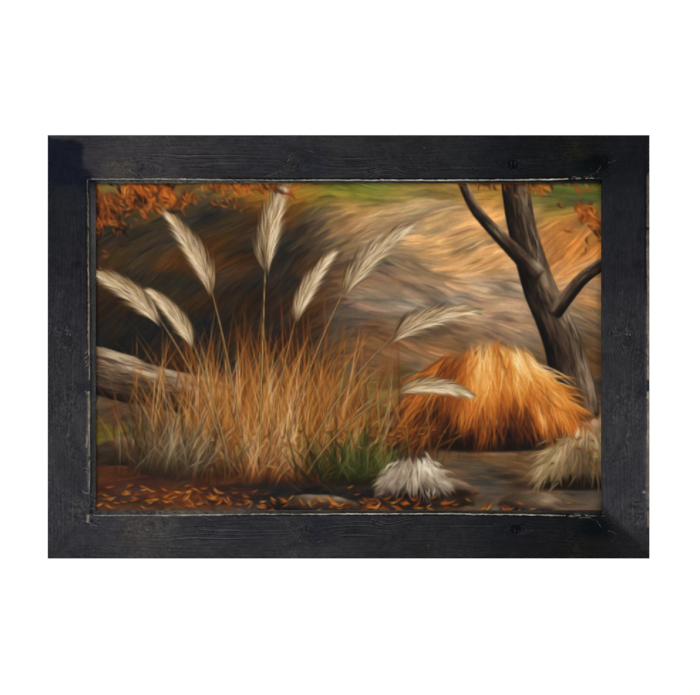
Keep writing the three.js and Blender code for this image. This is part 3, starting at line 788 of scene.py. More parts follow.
def railTone(board, along, across, edgeGap, fromStart, fromEnd):
    marks = board["marks"]
    slow, cloud, speckle = (Noise(marks["seed"] + k) for k in (8, 9, 10))
    tone = ramp(board["tones"], along)
    for area in board["patches"]:
        x, y = (along - area["along"]) / area["wide"], (across - area["across"]) / area["deep"]
        power = area.get("square", 3)
        reach = (np.abs(x) ** power + np.abs(y) ** power) ** (1 / power)
        reach += 0.14 * (cloud(along / 14, across / 14) - 0.5)
        tone = overlay(tone, area["tone"], 1 - smooth(1 - area["soft"], 1 + area["soft"] * 0.5, reach))
    if board["edgeStrip"]:
        strip = 1 - smooth(board["edgeStrip"] - 0.7, board["edgeStrip"] + 0.7, across)
        tone = overlay(tone, (51, 50, 55), strip * (1 - smooth(50, 70, along)))
    for name, far in zip(board["ends"], (fromStart, fromEnd)):
        near = 1 - smooth(-2, 12, far)
        tone = overlay(tone, cornerTones[name], near * smooth(4, 6, across) if name == "topLeft" else near)
    slid, turned = onBoard(board, along, across)
    drift = 1 + 0.2 * (slow(along / 48, across / 26, 3) - 0.5)
    drift += 0.22 * (cloud(along / 9, across / 6, 3) - 0.5)
    drift += 0.16 * (speckle(along / 3.4, across / 2.4, 2) - 0.5)
    clump = 0.3 + smooth(0.42, 0.72, cloud(along / 24 + 5, across / 15 + 9, 2))
    grit = speckle(along / 1.35 + 11, across / 1.15) - 0.5
    drift += 0.6 * follow(board["gritty"], along) * clump * grit
    placed = [(m, slid, turned) for m in marks["mottles"]] + [(m, along, across) for m in board["mottles"]]
    for mottle, x, y in placed:
        spots = speckle(x / mottle["grain"][0], y / mottle["grain"][1], 2) - 0.46
        drift += 2.6 * mottle["amount"] * np.exp(-reachOf(mottle, x, y) ** 2) * spots
    drift *= 1 - follow(board["rim"], along) * np.exp(-(np.maximum(across - 0.2, 0) / 1.1) ** 2)
    reeds = np.exp(-(across / 2.6) ** 2) + 0.3 * np.exp(-(across / 10) ** 2)
    drift += follow(board["reeds"], along) * reeds * np.sin(2 * math.pi * across / 2.28)
    for low, high, amount in board["rubbed"]:
        inside = window(along, low, high, 8)
        drift += amount * inside * np.exp(-((edgeGap - board["rubbedAt"]) / 1.5) ** 2)
    if board["lip"]:
        # on the lip, the lip's own tone, set lighter as painted light to make up for the shadow the step
        # casts on it
        cover = smooth(0.3, 0.9, edgeGap) * smooth(-2, 14, np.minimum(fromStart, fromEnd))
        tone = overlay(tone, ramp(board["lipTone"], along), cover)
        # a darker line along the lip just beside the step: painted shadow of the step
        stepShadow = follow(board["lipLine"], along) * np.exp(-((edgeGap - 1.25) / 0.6) ** 2)
        drift *= 1 - stepShadow * np.clip(0.6 + 0.8 * slow(along / 15, 3.0), 0, 1.2)
    return np.clip(tone * drift[..., None], 3, 255)


# squeezes a section's places along the rail so that its ends are cut to the mitre
def mitred(t, u, length):
    blend = timber["mitreBlend"]

    def squeeze(x):
        return np.where(x < blend, u + x * (blend - u) / blend, x)

    return np.where(t < length / 2, squeeze(t), length - squeeze(length - t))


def makeRail(node, outer, alongAxis, inAxis, materials):
    board = boards[node]
    low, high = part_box(node)
    size = [(high[i] - low[i]) / mm for i in range(3)]
    length = max(size[0], size[2]) + timber["mitreGap"]
    width, depth = min(size[0], size[2]), size[1]
    parts, outline = railOutline(width, depth, board["lip"])
    t = np.linspace(0, length, round(length / timber["row"]) + 1)[:, None]
    u, d = outline[:, 0][None, :] + 0 * t, outline[:, 1][None, :] + 0 * t
    ledgeEdge = 0.4
    if board["lip"]:
        shift = ledgeShift(board, t[:, 0], length, width)[:, None]
        u += ledgeSlide(parts, outline[:, 0], width, board["lip"])[None, :] * shift
        ledgeEdge = width - board["lip"] + shift
    along = mitred(t, u, length)

    # the grain runs over the arris and down the side; the back's is its own
    stepLength = np.hypot(*(np.roll(outline, -1, axis=0) - outline).T)
    around = np.concatenate([[0], np.cumsum(stepLength)])
    onBack = np.isin(parts, ["rabbet", "back"])
    across = np.where(parts == "side", d - depth + 0.6, u)
    across = np.where(parts == "step", u + 0.4 * (depth - d), across)
    across = np.where(onBack, 60 + around[:-1], across)
    edgeGap = across - ledgeEdge
    fields = railFields(board, along, across, parts, edgeGap, length)

    fromStart, fromEnd = along - u, length - along - u
    fromMitre = np.minimum(fromStart, fromEnd)
    flatter = np.where(np.isin(parts, ["side", "arris"]), relief["atSides"], 1.0)
    lift = np.minimum(fields["lift"], 0) * flatter
    lift = (lift - relief["mitre"] * np.exp(-fromMitre / 0.5)) * ~onBack
    tangent = np.roll(outline, -1, axis=0) - np.roll(outline, 1, axis=0)
    normal = np.stack([-tangent[:, 1], tangent[:, 0]], -1)
    normal /= np.hypot(*normal.T)[:, None]
    inward, deep = u + normal[:, 0] * lift, np.maximum(d + normal[:, 1] * lift, 0)
    place = (np.array(outer) + along[..., None] * np.array(alongAxis) + inward[..., None] * np.array(inAxis)
             + deep[..., None] * np.array([0, -1, 0]))

    index = np.arange(along.size).reshape(along.shape)
    a, b = index[:-1, :], index[1:, :]
    quads = np.stack([a, b, np.roll(b, -1, 1), np.roll(a, -1, 1)], -1).reshape(-1, 4)
    caps = [index[0], index[-1][::-1]]
    if np.dot(np.cross(alongAxis, inAxis), [0, -1, 0]) > 0:
        quads, caps = quads[:, ::-1], [c[::-1] for c in caps]
    piece = newPiece(node.replace("rail_", "woodRail_"), place.reshape(-1, 3),
                     quads.tolist() + [cap.tolist() for cap in caps], materials)
    mesh = piece.data
    loopVertex = np.empty(len(mesh.loops), int)
    mesh.loops.foreach_get("vertex_index", loopVertex)
    setMap(mesh, "grain", np.stack([along / 10, fields["rings"]], -1).reshape(-1, 2)[loopVertex])
    alongPart, aroundPart = along / length, (around[:-1] / around[-1])[None, :] + 0 * along
    sectionPart = outline / (width, depth)
    setMap(mesh, "OFBake", railBakeMap(alongPart, aroundPart, sectionPart, caps, len(quads), loopVertex))

    for name in ("figure", "heart", "crack", "chip", "wear"):
        setValues(mesh, name, fields[name])
    setValues(mesh, "edge", np.where(onBack, 50, edgeGap - board["wear"]["at"]))
    tone = toLinear(railTone(board, along, across, edgeGap, fromStart, fromEnd).reshape(-1, 3))
    setColours(mesh, "tone", np.clip(tone - timber["sheenLoss"], 0.0008, 1))
    patchy = Noise(board["marks"]["seed"] + 12)(along / 6.5, across / 9, 2) - 0.5
    fade = follow(board["wear"]["fade"], along) * (1 + board["wear"]["rag"] * 0.55 * patchy)
    setColours(mesh, "bare", toLinear(fade.reshape(-1, 1) * np.array(board["wear"]["tone"])))
    spray = np.maximum(np.exp(-np.minimum(u, 12) / 4), 0.8 * np.exp(-fromMitre / 0.45))
    setValues(mesh, "spray", np.where(onBack, spray, 0))
    backFaces = np.tile(onBack & np.roll(onBack, -1), len(t) - 1)
    mesh.polygons.foreach_set("material_index", np.concatenate([backFaces, [True, True]]).astype(int))
    smoothShade(mesh, 50)
    mesh.validate()
    return piece


# for the bake: the rail's length by the way round it, and the two cut ends in the margins
def railBakeMap(alongPart, aroundPart, sectionPart, caps, quadCount, loopVertex):
    margin, capRoom, trim = 0.06, 0.044, 0.012
    flat = np.stack([margin + (1 - 2 * margin) * alongPart, trim + (1 - 2 * trim) * aroundPart], -1)
    flat = flat.reshape(-1, 2)[loopVertex]
    wrap = flat[:quadCount * 4].reshape(-1, 4, 2)
    jump = wrap[..., 1].max(1) - wrap[..., 1].min(1) > 0.5
    wrap[..., 1] = np.where(jump[:, None] & (wrap[..., 1] < 0.5), 1 - trim, wrap[..., 1])
    at = quadCount * 4
    for cap, offset in zip(caps, (trim / 3, 1 - capRoom - trim / 3)):
        points = sectionPart[cap % len(sectionPart)]
        flat[at:at + len(cap)] = np.stack([offset + points[:, 0] * capRoom, 0.1 + 0.5 * points[:, 1]], -1)
        at += len(cap)
    return flat


def makeCharcoalPaint():
    material, n, shader = newMaterial("charcoalPaint")
    figure = n.place(woodFigure, Vector=n.add("ShaderNodeUVMap", uv_map="grain").outputs[0])
    here = n.position()
    dust = n.place(grit, Vector=here)
    strength, chip = n.read("figure"), n.read("chip")
    # painted emboss: groove lines darken the paint as painted shade and ridge lines lighten it as a painted
    # highlight, partly rubbed paint as well
    value = n.sum(1.0, n.swing(figure["Streak"], -0.12, 0.12), n.swing(figure["Fibre"], -0.08, 0.08),
                  n.swing(dust["Blotch"], -0.06, 0.06), n.swing(dust["Tooth"], -0.12, 0.12),
                  n.times(n.times(figure["LatewoodAndGrooveShade"], strength), -0.58),
                  n.times(n.times(figure["RidgeHighlight"], strength), 1.02))
    paint = n.shade(n.read("tone", "Color"), value)
    paint = n.tint(n.times(n.read("heart"), 0.95), paint, 4, 5, 16)
    paint = n.tint(n.times(dust["Speck"], 0.05), paint, 120, 116, 110)
    chipped = n.remap(n.math("ADD", chip, n.swing(dust["Tooth"], -0.1, 0.1, "LINEAR")), 0.08, 0.85)
    paint = n.tint(n.times(chipped, 0.72), paint, 116, 111, 105)
    paint = n.tint(n.remap(chip, 0.9, 1.35, 0.0, 0.9), paint, 132, 118, 104)
    # near-black in cracks and dark marks, and in the groove beside the worn arris, where it is painted shade
    paint = n.tint(n.times(n.read("crack"), 0.92), paint, 3, 4, 10)
    # bare wood where the arris is rubbed through
    ragged = n.noise(n.scaled(here, location=(0.3, 0.1, 0.7)), 260.0, 3.0, 0.65)
    edge = n.math("ADD", n.read("edge"), n.remap(ragged, 0.25, 0.75, -0.5, 0.5, "LINEAR"))
    worn = n.remap(n.math("SUBTRACT", n.math("ABSOLUTE", edge), n.read("wear")), -0.5, 0.2, 1.0, 0.0)
    wood = n.shade(n.read("bare", "Color"), n.swing(figure["Streak"], 0.78, 1.18))
    wood = n.tint(n.times(n.remap(figure["Fibre"], 0.56, 0.7), 0.6), wood, 74, 66, 58)
    rough = n.sum(n.swing(figure["Streak"], 0.5, 0.64), n.times(worn, 0.2))
    height = n.sum(n.times(figure["Fibre"], -0.6), n.times(dust["Tooth"], 0.3))
    finish(n, shader, n.mix(worn, paint, wood), rough, height, 0.35, 0.2, specular=0.06)
    return material


def makeRawPine():
    material, n, shader = newMaterial("rawPine")
    figure = n.place(woodFigure, Vector=n.add("ShaderNodeUVMap", uv_map="grain").outputs[0])
    dust = n.place(grit, Vector=n.position())
    pine = n.mix(n.swing(figure["Streak"]), rgba(186, 148, 102), rgba(218, 186, 140))
    pine = n.tint(n.times(figure["LatewoodAndGrooveShade"], 0.55), pine, 156, 106, 62)
    pine = n.tint(n.remap(dust["Blotch"], 0.5, 0.8, 0.0, 0.35), pine, 150, 122, 92)
    misty = n.math("ADD", n.read("spray"), n.swing(dust["Tooth"], -0.35, 0.3, "LINEAR"))
    colour = n.tint(n.remap(misty, 0.15, 0.75), pine, 44, 43, 46)
    height = n.sum(n.times(figure["Fibre"], -0.7), n.times(dust["Tooth"], 0.2))
    finish(n, shader, colour, n.swing(figure["Streak"], 0.7, 0.85), height, 0.4, 0.3, specular=0.3)
    return material


# the picture is an autumn grass bank, painted stroke by stroke on a grid of dots, in mm from its middle
canvas = dict(wide=609.6, tall=406.4, dots=1.5, seed=5, smudge=3.2, contrast=1.09, deepen=5)

# broad soft areas the background is blocked in with: x, z, width, height, the brush's way and a tone
washes = [
    (-220, 120, 120, 70, 0.5, (62, 46, 28)), (-250, 20, 90, 90, 0.9, (34, 26, 20)),
    (-90, 60, 120, 80, 0.7, (44, 32, 23)), (-290, 190, 70, 40, 0.2, (120, 98, 48)),
    (-120, 195, 110, 34, 0.05, (140, 100, 40)), (20, 190, 70, 30, -0.05, (92, 110, 34)),
    (130, 196, 120, 28, 0, (164, 120, 52)), (270, 186, 70, 40, -0.2, (74, 84, 30)),
    (70, 128, 90, 46, 0.35, (160, 128, 88)), (160, 120, 80, 40, 0.5, (196, 150, 98)),
    (250, 110, 80, 50, 0.9, (176, 110, 50)), (60, 70, 90, 40, -0.35, (142, 112, 84)),
    (170, 50, 110, 40, -0.3, (170, 140, 110)), (290, 30, 60, 50, -0.6, (120, 92, 60)),
    (120, 0, 120, 36, -0.3, (120, 90, 62)), (260, -30, 100, 30, -0.35, (86, 62, 42)),
    (-240, -60, 110, 30, 0.05, (100, 74, 52)), (-100, -70, 120, 24, 0, (128, 102, 72)),
    (60, -70, 110, 30, -0.15, (96, 80, 44)), (230, -90, 100, 34, -0.3, (150, 122, 92)),
    (-230, -110, 110, 22, 0.1, (88, 84, 36)), (-60, -120, 140, 26, 0, (70, 48, 34)),
    (120, -130, 110, 30, 0, (88, 66, 44)), (-220, -160, 140, 30, 0, (66, 40, 28)),
    (0, -175, 120, 26, 0, (44, 32, 24)), (240, -170, 120, 40, 0.1, (104, 78, 54)),
    (-120, -195, 120, 14, 0, (120, 84, 54)),
]

# pigments, from shadow to light
barkTones = [(0, 16, 12, 10), (0.25, 38, 29, 22), (0.5, 74, 57, 43), (0.7, 118, 96, 74),
             (0.88, 168, 146, 118), (1, 204, 184, 156)]
flameTones = [(0, 26, 15, 10), (0.14, 66, 32, 16), (0.3, 122, 58, 22), (0.46, 176, 88, 26),
              (0.62, 208, 122, 38), (0.78, 224, 160, 74), (0.9, 236, 198, 128), (1, 246, 228, 188)]
plumeTones = [(0, 58, 46, 38), (0.25, 112, 94, 78), (0.5, 168, 148, 124), (0.72, 212, 196, 172),
              (0.9, 238, 228, 210), (1, 250, 245, 234)]
strawTones = [(0, 30, 22, 15), (0.3, 84, 64, 40), (0.55, 140, 112, 74), (0.8, 192, 164, 120),
              (1, 230, 212, 178)]
greenTones = [(0, 18, 18, 10), (0.4, 54, 60, 24), (0.75, 108, 112, 46), (1, 168, 160, 84)]

# each clump: where it grows, how far it spreads, how tall it stands
featherGrass = [
    dict(x=-100, z=-150, spread=62, tall=250, count=900, fan=0.42, tones=flameTones, light=-0.02),
    dict(x=-70, z=-158, spread=56, tall=170, count=700, fan=0.5, tones=flameTones, light=0.04),
    dict(x=-204, z=-152, spread=26, tall=130, count=260, fan=0.55, tones=strawTones, light=-0.12),
    dict(x=14, z=-160, spread=26, tall=104, count=260, fan=0.6, tones=greenTones, light=0),
]
plumes = [dict(x=-128, lean=-0.46, tall=222, size=100), dict(x=-102, lean=0.03, tall=268, size=114),
          dict(x=-84, lean=0.36, tall=252, size=108), dict(x=-114, lean=-0.2, tall=244, size=100),
          dict(x=-66, lean=0.64, tall=222, size=100), dict(x=-96, lean=0.2, tall=206, size=86),
          dict(x=-132, lean=-0.3, tall=176, size=78), dict(x=-56, lean=0.88, tall=172, size=80)]
tussocks = [dict(x=160, z=-116, wide=124, tall=112, count=2300, tones=flameTones, light=-0.02),
            dict(x=268, z=-160, wide=74, tall=58, count=760, tones=strawTones, light=0.06),
            dict(x=74, z=-172, wide=54, tall=40, count=520, tones=plumeTones, light=-0.12)]
limbs = [
    dict(path=[(262, -70), (246, 0), (216, 70), (196, 140), (186, 215)], start=46, end=26, light=0.02,
         seed=41),
    dict(path=[(214, 84), (170, 128), (140, 160), (120, 215)], start=15, end=8, light=0.06, seed=42),
    dict(path=[(236, 40), (270, 84), (320, 110)], start=15, end=9, light=0, seed=43),
    dict(path=[(-310, -20), (-220, -46), (-130, -66), (-20, -100)], start=52, end=34, light=0.16, seed=44),
]

# stones: x, z, width, height, light
stones = [(-8, -128, 40, 17, 0.1), (98, -168, 46, 20, 0.0), (-250, -122, 44, 19, -0.05),
          (206, -178, 34, 14, 0.08), (-40, -186, 54, 18, -0.1)]

# leaves on the ground, as x, z, width, height and count, and on the boughs, with their light as well
drifts = [(-250, -170, 46, 9, 70), (-150, -176, 60, 8, 90), (10, -182, 60, 7, 80), (120, -184, 60, 7, 60),
          (-60, -104, 60, 5, 50), (60, -96, 50, 6, 40), (270, -110, 30, 8, 30)]
boughs = [(-215, 176, 62, 18, 300, 0.0), (-120, 190, 60, 12, 200, 0.06), (-282, 146, 24, 30, 160, -0.1),
          (286, 160, 30, 26, 190, 0.0), (232, 188, 40, 12, 150, 0.08), (150, 194, 40, 8, 90, 0.1)]


def faded(tones, value):
    return ramp(tones, unit(value))


class Canvas:
    def __init__(self):
        dots = canvas["dots"]
        self.cols, self.rows = round(canvas["wide"] * dots), round(canvas["tall"] * dots)
        self.paint = np.zeros((self.rows, self.cols, 3))
        self.random = np.random.default_rng(canvas["seed"])
        hairs = self.random.random((96, 34))
        self.bristles = (hairs[:, :-2] + 2 * hairs[:, 1:-1] + hairs[:, 2:]) / 2 - 1

    # many strokes at once: each is a tapering, bent box of bristle marks, from one colour to another
    def strokes(self, x, z, angle, length, width, colour, tip=None, opacity=0.9, bend=0.0, taper=0.0,
                grain=0.5, soft=0.3):
        n = len(x)
        each = (x, z, angle, length, width, opacity, bend)
        each = [np.broadcast_to(np.asarray(v, float), (n,)) for v in each]
        tint = self.random.normal(0, 3, (n, 3))
        colour = np.broadcast_to(np.asarray(colour, float), (n, 3)) + tint
        tip = colour if tip is None else np.broadcast_to(np.asarray(tip, float), (n, 3)) + tint
        pick = self.random.integers(0, len(self.bristles), n)
        for i in range(n):
            bristle = self.bristles[pick[i]]
            self.stroke(*(v[i] for v in each), colour[i], tip[i], bristle, taper, grain, soft)

    def stroke(self, x, z, angle, length, width, opacity, bend, colour, tip, bristle, taper, grain, soft):
        dots = canvas["dots"]
        ca, sa = math.cos(angle), math.sin(angle)
        thick = width / 2 + abs(bend) * length * 0.68
        reachX = (abs(ca) * length / 2 + abs(sa) * thick) * dots + 1
        reachZ = (abs(sa) * length / 2 + abs(ca) * thick) * dots + 1
        px, pz = (x + canvas["wide"] / 2) * dots, (canvas["tall"] / 2 - z) * dots
        c0, c1 = max(0, int(px - reachX)), min(self.cols, int(px + reachX) + 1)
        r0, r1 = max(0, int(pz - reachZ)), min(self.rows, int(pz + reachZ) + 1)
        if c0 >= c1 or r0 >= r1:
            return
        right = (np.arange(c0, c1) + 0.5 - px)[None, :] / dots
        up = (pz - np.arange(r0, r1) - 0.5)[:, None] / dots
        s = (right * ca + up * sa) * (2 / length)
        v = up * ca - right * sa - bend * length * (s * s - 0.33)
        wide = width * (1 - taper * unit(0.5 + 0.5 * s))
        across = v * 2 / np.maximum(wide, 0.4)
        hair = bristle[(unit(across * 0.5 + 0.5) * (len(bristle) - 1)).astype(int)]
        side = unit((1 - np.abs(across)) / soft)
        end = unit((1 - np.abs(s) + 0.18 * hair) / (soft + 0.15))
        cover = (opacity * side * end * (1 - grain * 0.25 * (1 - hair)))[..., None]
        tone = colour + (tip - colour) * unit(0.5 + 0.5 * s)[..., None]
        tone *= 1 + 0.15 * grain * hair[..., None]
        patch = self.paint[r0:r1, c0:c1]
        patch += (tone - patch) * cover


def scatter(random, spacing, x0, x1, z0, z1):
    nx, nz = max(1, int((x1 - x0) / spacing)), max(1, int((z1 - z0) / spacing))
    x, z = np.meshgrid((np.arange(nx) + 0.5) / nx, (np.arange(nz) + 0.5) / nz)
    x = x0 + x.ravel() * (x1 - x0) + (random.random(nx * nz) - 0.5) * 0.9 * spacing
    z = z0 + z.ravel() * (z1 - z0) + (random.random(nx * nz) - 0.5) * 0.9 * spacing
    order = random.permutation(len(x))
    return x[order], z[order]


# the background, from broad soft strokes down to fine dry ones: spacing, length, width, grain, softness
def blockIn(picture, random):
    lump, drift, hue = Noise(1), Noise(2), Noise(3)
    layers = ((15, 74, 22, 0.7, 0.5), (9, 52, 12, 0.9, 0.4), (6.5, 38, 7.5, 1.3, 0.26),
              (8, 30, 3.2, 1.4, 0.3))
    for spacing, length, width, grain, soft in layers:
        x, z = scatter(random, spacing, -310, 310, -208, 208)
        shiftX, shiftZ = 50 * (lump(x / 70, z / 50) - 0.5), 40 * (drift(x / 70, z / 50) - 0.5)
        total, tone, runX, runZ = 0, 0, 0, 0
        for x0, z0, wide, tall, turn, colour in washes:
            far = ((x + shiftX - x0) / wide) ** 2 + ((z + shiftZ - z0) / tall) ** 2
            weight = np.exp(-1.6 * far) + 1e-6
            total += weight
            tone += weight[:, None] * np.array(colour)
            runX, runZ = runX + weight * math.cos(turn), runZ + weight * math.sin(turn)
        tone /= total[:, None]
        value = 1 + 0.75 * (lump(x / 26 + 9, z / 11 + 4, 4) - 0.5) + 0.3 * (drift(x / 9, z / 6, 2) - 0.5)
        value += 0.09 * grain * random.normal(0, 1, len(x))
        tone *= value[:, None]
        warm = (hue(x / 40, z / 24 + 8) - 0.5)[:, None]
        tone += warm * np.array([58, 8, -30])
        angle = np.arctan2(runZ, runX) + 0.9 * (drift(x / 60 + 3, z / 45) - 0.5)
        picture.strokes(x, z, angle, length * (0.6 + 0.7 * random.random(len(x))), width, tone,
                        opacity=0.82, bend=(random.random(len(x)) - 0.5) * 0.16, grain=grain, soft=soft)


# a limb or a log: dark underneath, then lengthwise marks across its round from the shadow to the light
def paintLimb(picture, path, start, end, light, seed):
    local, bark = np.random.default_rng(seed), Noise(seed)
    path = np.array(path, float)
    far = np.concatenate([[0], np.cumsum(np.hypot(*np.diff(path, axis=0).T))])
    s = np.linspace(0, 1, max(8, int(far[-1] / 3)))
    x, z = (np.interp(s * far[-1], far, path[:, k]) for k in (0, 1))
    for _ in range(40):
        x[1:-1], z[1:-1] = (x[:-2] + 2 * x[1:-1] + x[2:]) / 4, (z[:-2] + 2 * z[1:-1] + z[2:]) / 4
    angle, wide = np.arctan2(np.gradient(z), np.gradient(x)), start + (end - start) * s
    wide *= 0.9 + 0.25 * bark(s * far[-1] / 40, 2)

    # a place beside the middle line, and how far it faces the light
    def beside(lane, k=slice(None)):
        facing = lane * np.where(np.cos(angle[k]) > 0.5, 1, -np.sign(np.sin(angle[k])))
        out = lane * wide[k] / 2
        return x[k] - np.sin(angle[k]) * out, z[k] + np.cos(angle[k]) * out, facing

    def jitter(amount, count):
        return amount * (local.random(count) - 0.5)

    picture.strokes(x, z, angle, np.maximum(9, wide * 0.8), wide * 1.04, (26, 19, 14), opacity=0.92,
                    soft=0.16)
    lanes = max(3, int(start / 2.6))
    for _ in range(2):
        for lane in local.permutation(np.linspace(-0.9, 0.9, lanes)):
            lx, lz, facing = beside(lane)
            value = 0.38 + light + 0.36 * facing - 0.2 * abs(lane) ** 4
            value = value + 0.8 * (bark(s * far[-1] / 22, lane * 4 + 9, 3) - 0.5) + jitter(0.1, len(s))
            picture.strokes(lx, lz, angle + jitter(0.2, len(s)), np.maximum(7, wide * 0.55),
                            np.maximum(1.2, wide / lanes * 1.7), faded(barkTones, value), opacity=0.7,
                            bend=jitter(0.1, len(s)), grain=1.3, soft=0.3)
    # cracks in the bark, and the edges of its plates catching the light
    count = int(far[-1] * start / 130)
    for lit, reach in ((0, 0.9), (1, 0.6)):
        k = local.integers(1, len(s) - 1, count)
        lx, lz, facing = beside(local.uniform(-0.85, 0.85, count), k)
        tint = faded(barkTones, 0.62 + light + 0.34 * facing + jitter(0.2, count)) if lit else (16, 12, 10)
        picture.strokes(lx + lit, lz + lit, angle[k] + jitter(0.5, count),
                        reach * start * (0.3 + 0.5 * local.random(count)), 1.3 + 0.9 * local.random(count),
                        tint, opacity=0.62, bend=jitter(0.2, count), taper=0.5, grain=0.6, soft=0.5)


def paintFeatherGrass(picture, random):
    clumpNoise = Noise(61)
    for clump in featherGrass:
        k, tones = clump["count"] // 4, clump["tones"]
        for layer in range(4):
            lean = random.normal(0, clump["fan"], k) * (1.15 - 0.1 * layer)
            tall = clump["tall"] * (0.45 + 0.5 * random.random(k))
            tall = tall * (1 - 0.35 * np.minimum(np.abs(lean), 1)) * (1 - 0.09 * layer)
            x = clump["x"] + random.normal(0, clump["spread"], k) + np.sin(lean) * tall / 2
            z = clump["z"] + 8 * random.random(k) + np.cos(lean) * tall / 2
            value = 0.14 + 0.13 * layer + clump["light"] + 0.12 * np.sin(lean)
            value = value + 0.34 * (random.random(k) - 0.4) + 0.6 * (clumpNoise(x / 13, z / 60, 2) - 0.5)
            picture.strokes(x, z, math.pi / 2 - lean, tall, 2.6 + 2.6 * random.random(k) - 0.4 * layer,
                            faded(tones, value - 0.42), faded(tones, value + 0.26), opacity=0.82,
                            bend=-0.16 * lean + 0.03 * random.normal(0, 1, k), taper=0.75, soft=0.55)


# a tall stem with a plume on it that droops over to the side it leans
def paintPlume(picture, random, plume, base=-140):
    lean, tall, size = plume["lean"], plume["tall"], plume["size"]
    angle, bend = math.pi / 2 - lean, -0.1 * lean
    along, beside = (math.cos(angle), math.sin(angle)), (-math.sin(angle), math.cos(angle))
    middle = [plume["x"] + along[0] * tall / 2, base + along[1] * tall / 2]
    for width, *tone in ((3.4, 60, 40, 22), (1.8, 196, 158, 98)):
        picture.strokes(middle[:1], middle[1:], angle, tall, width, tone, opacity=0.85, bend=bend,
                        taper=0.4)
    count = 24
    part = np.linspace(0, 1, count)
    heading = angle + math.atan(4 * bend) - (0.35 * np.sign(lean) + 0.5 * lean) * part
    reach = tall * 0.34
    foot = [middle[i] + along[i] * reach + beside[i] * 0.3 * bend * tall for i in (0, 1)]
    sx = foot[0] + np.cumsum(np.cos(heading)) * size / count
    sz = foot[1] + np.cumsum(np.sin(heading)) * size / count
    lit = 1 if math.cos(angle) < 0 else -1
    layers = ((0.1, 4.0, 110, 0.5), (0.34, 3.0, 130, 0.45), (0.58, 2.2, 150, 0.4), (0.84, 1.5, 120, 0.32))
    for value, width, many, fan in layers:
        at = random.random(many) ** 0.85
        side = random.uniform(-1, 1, many)
        angles = np.interp(at, part, heading) + side * fan * (1.1 - 0.5 * at)
        length = size * (0.4 - 0.2 * at) * (0.6 + 0.6 * random.random(many))
        thick = size * 0.075 * np.sin(math.pi * unit(0.12 + 0.88 * at)) ** 0.7
        px = np.interp(at, part, sx) - np.sin(angles) * side * thick + np.cos(angles) * length * 0.3
        pz = np.interp(at, part, sz) + np.cos(angles) * side * thick + np.sin(angles) * length * 0.3
        tone = unit(value + 0.26 * (random.random(many) - 0.5) + 0.14 * side * lit)
        warm = random.random(many)[:, None] * np.array([14, -2, -30])
        picture.strokes(px, pz, angles, length, width, faded(plumeTones, tone - 0.2) + warm,
                        faded(plumeTones, tone) + warm, opacity=0.75, bend=-0.1 * np.sign(lean + 0.01),
                        taper=0.7, grain=0.4, soft=0.7)


# a mound of grass that falls outward from its crown
def paintTussock(picture, random, mound):
    x0, z0, wide, tall, tones = (mound[key] for key in ("x", "z", "wide", "tall", "tones"))
    lump, k = Noise(round(x0) + 400), mound["count"] // 6
    picture.strokes(x0 + random.normal(0, wide * 0.42, 60), z0 + tall * 0.2 * random.random(60), 0.0,
                    wide * 0.7, 12, (24, 16, 11), opacity=0.7, soft=0.7)
    side = random.random(k) * 2 - 1
    rise = tall * (0.3 + 0.25 * random.random(k))
    picture.strokes(x0 + side * wide * 0.66, z0 + tall * (0.9 - 0.62 * side ** 2),
                    math.pi / 2 - 1.2 * side + random.normal(0, 0.3, k), rise, 2.4,
                    ramp(tones, 0.1 + 0.1 * random.random(k)), ramp(tones, 0.4 + 0.4 * random.random(k)),
                    opacity=0.7, bend=-0.14 * side, taper=0.8, soft=0.6)
    for layer in range(6):
        side = random.random(k) * 2 - 1
        drop = 1 - (layer + random.random(k)) / 6
        edge = 1 + 0.3 * (lump(side * 3 + 9, 0) - 0.5)
        crownX = side * wide * (0.66 + 0.06 * drop)
        crownZ = tall * (edge * np.sqrt(1 - 0.82 * side ** 2) * (0.98 - 0.72 * drop) + 0.08)
        crownZ += random.normal(0, 5, k)
        length = tall * (0.24 + 0.34 * random.random(k))
        angle = -math.pi / 2 + (1.1 - 0.5 * drop) * side + random.normal(0, 0.26, k)
        x = x0 + crownX + np.cos(angle) * length * 0.35
        z = z0 + crownZ + np.sin(angle) * length * 0.35
        value = 0.47 + mound["light"] + 0.2 * side + 0.36 * (0.5 - drop)
        value = value + 0.9 * (lump(x / 22, z / 26, 2) - 0.5) + 0.34 * (random.random(k) - 0.5)
        picture.strokes(x, z, angle, length, 2.0 + 2.2 * random.random(k), faded(tones, value + 0.1),
                        faded(tones, value - 0.14), opacity=0.82, bend=-0.12 * side, taper=0.6, grain=0.6,
                        soft=0.5)


def paintStones(picture, random):
    for x0, z0, wide, tall, light in stones:
        stone = Noise(round(x0) + 700)
        for count, size in ((60, 0.7), (150, 0.42), (200, 0.26)):
            a, r = random.random(count) * 2 * math.pi, np.sqrt(random.random(count)) * (1 - 0.2 * size)
            px, pz = np.cos(a) * r, np.maximum(np.sin(a) * r, -0.6)
            value = 0.42 + light + 0.34 * pz + 0.16 * px
            value += 0.6 * (stone(px * 1.6 + 3, pz * 1.3 + 9, 2) - 0.5)
            picture.strokes(x0 + px * wide, z0 + pz * tall, np.arctan2(-px * 0.6, 1.0) * 0.5, wide * size,
                            tall * size * 0.5, faded(barkTones, value), opacity=0.8, bend=-0.06, grain=1.2,
                            soft=0.28)


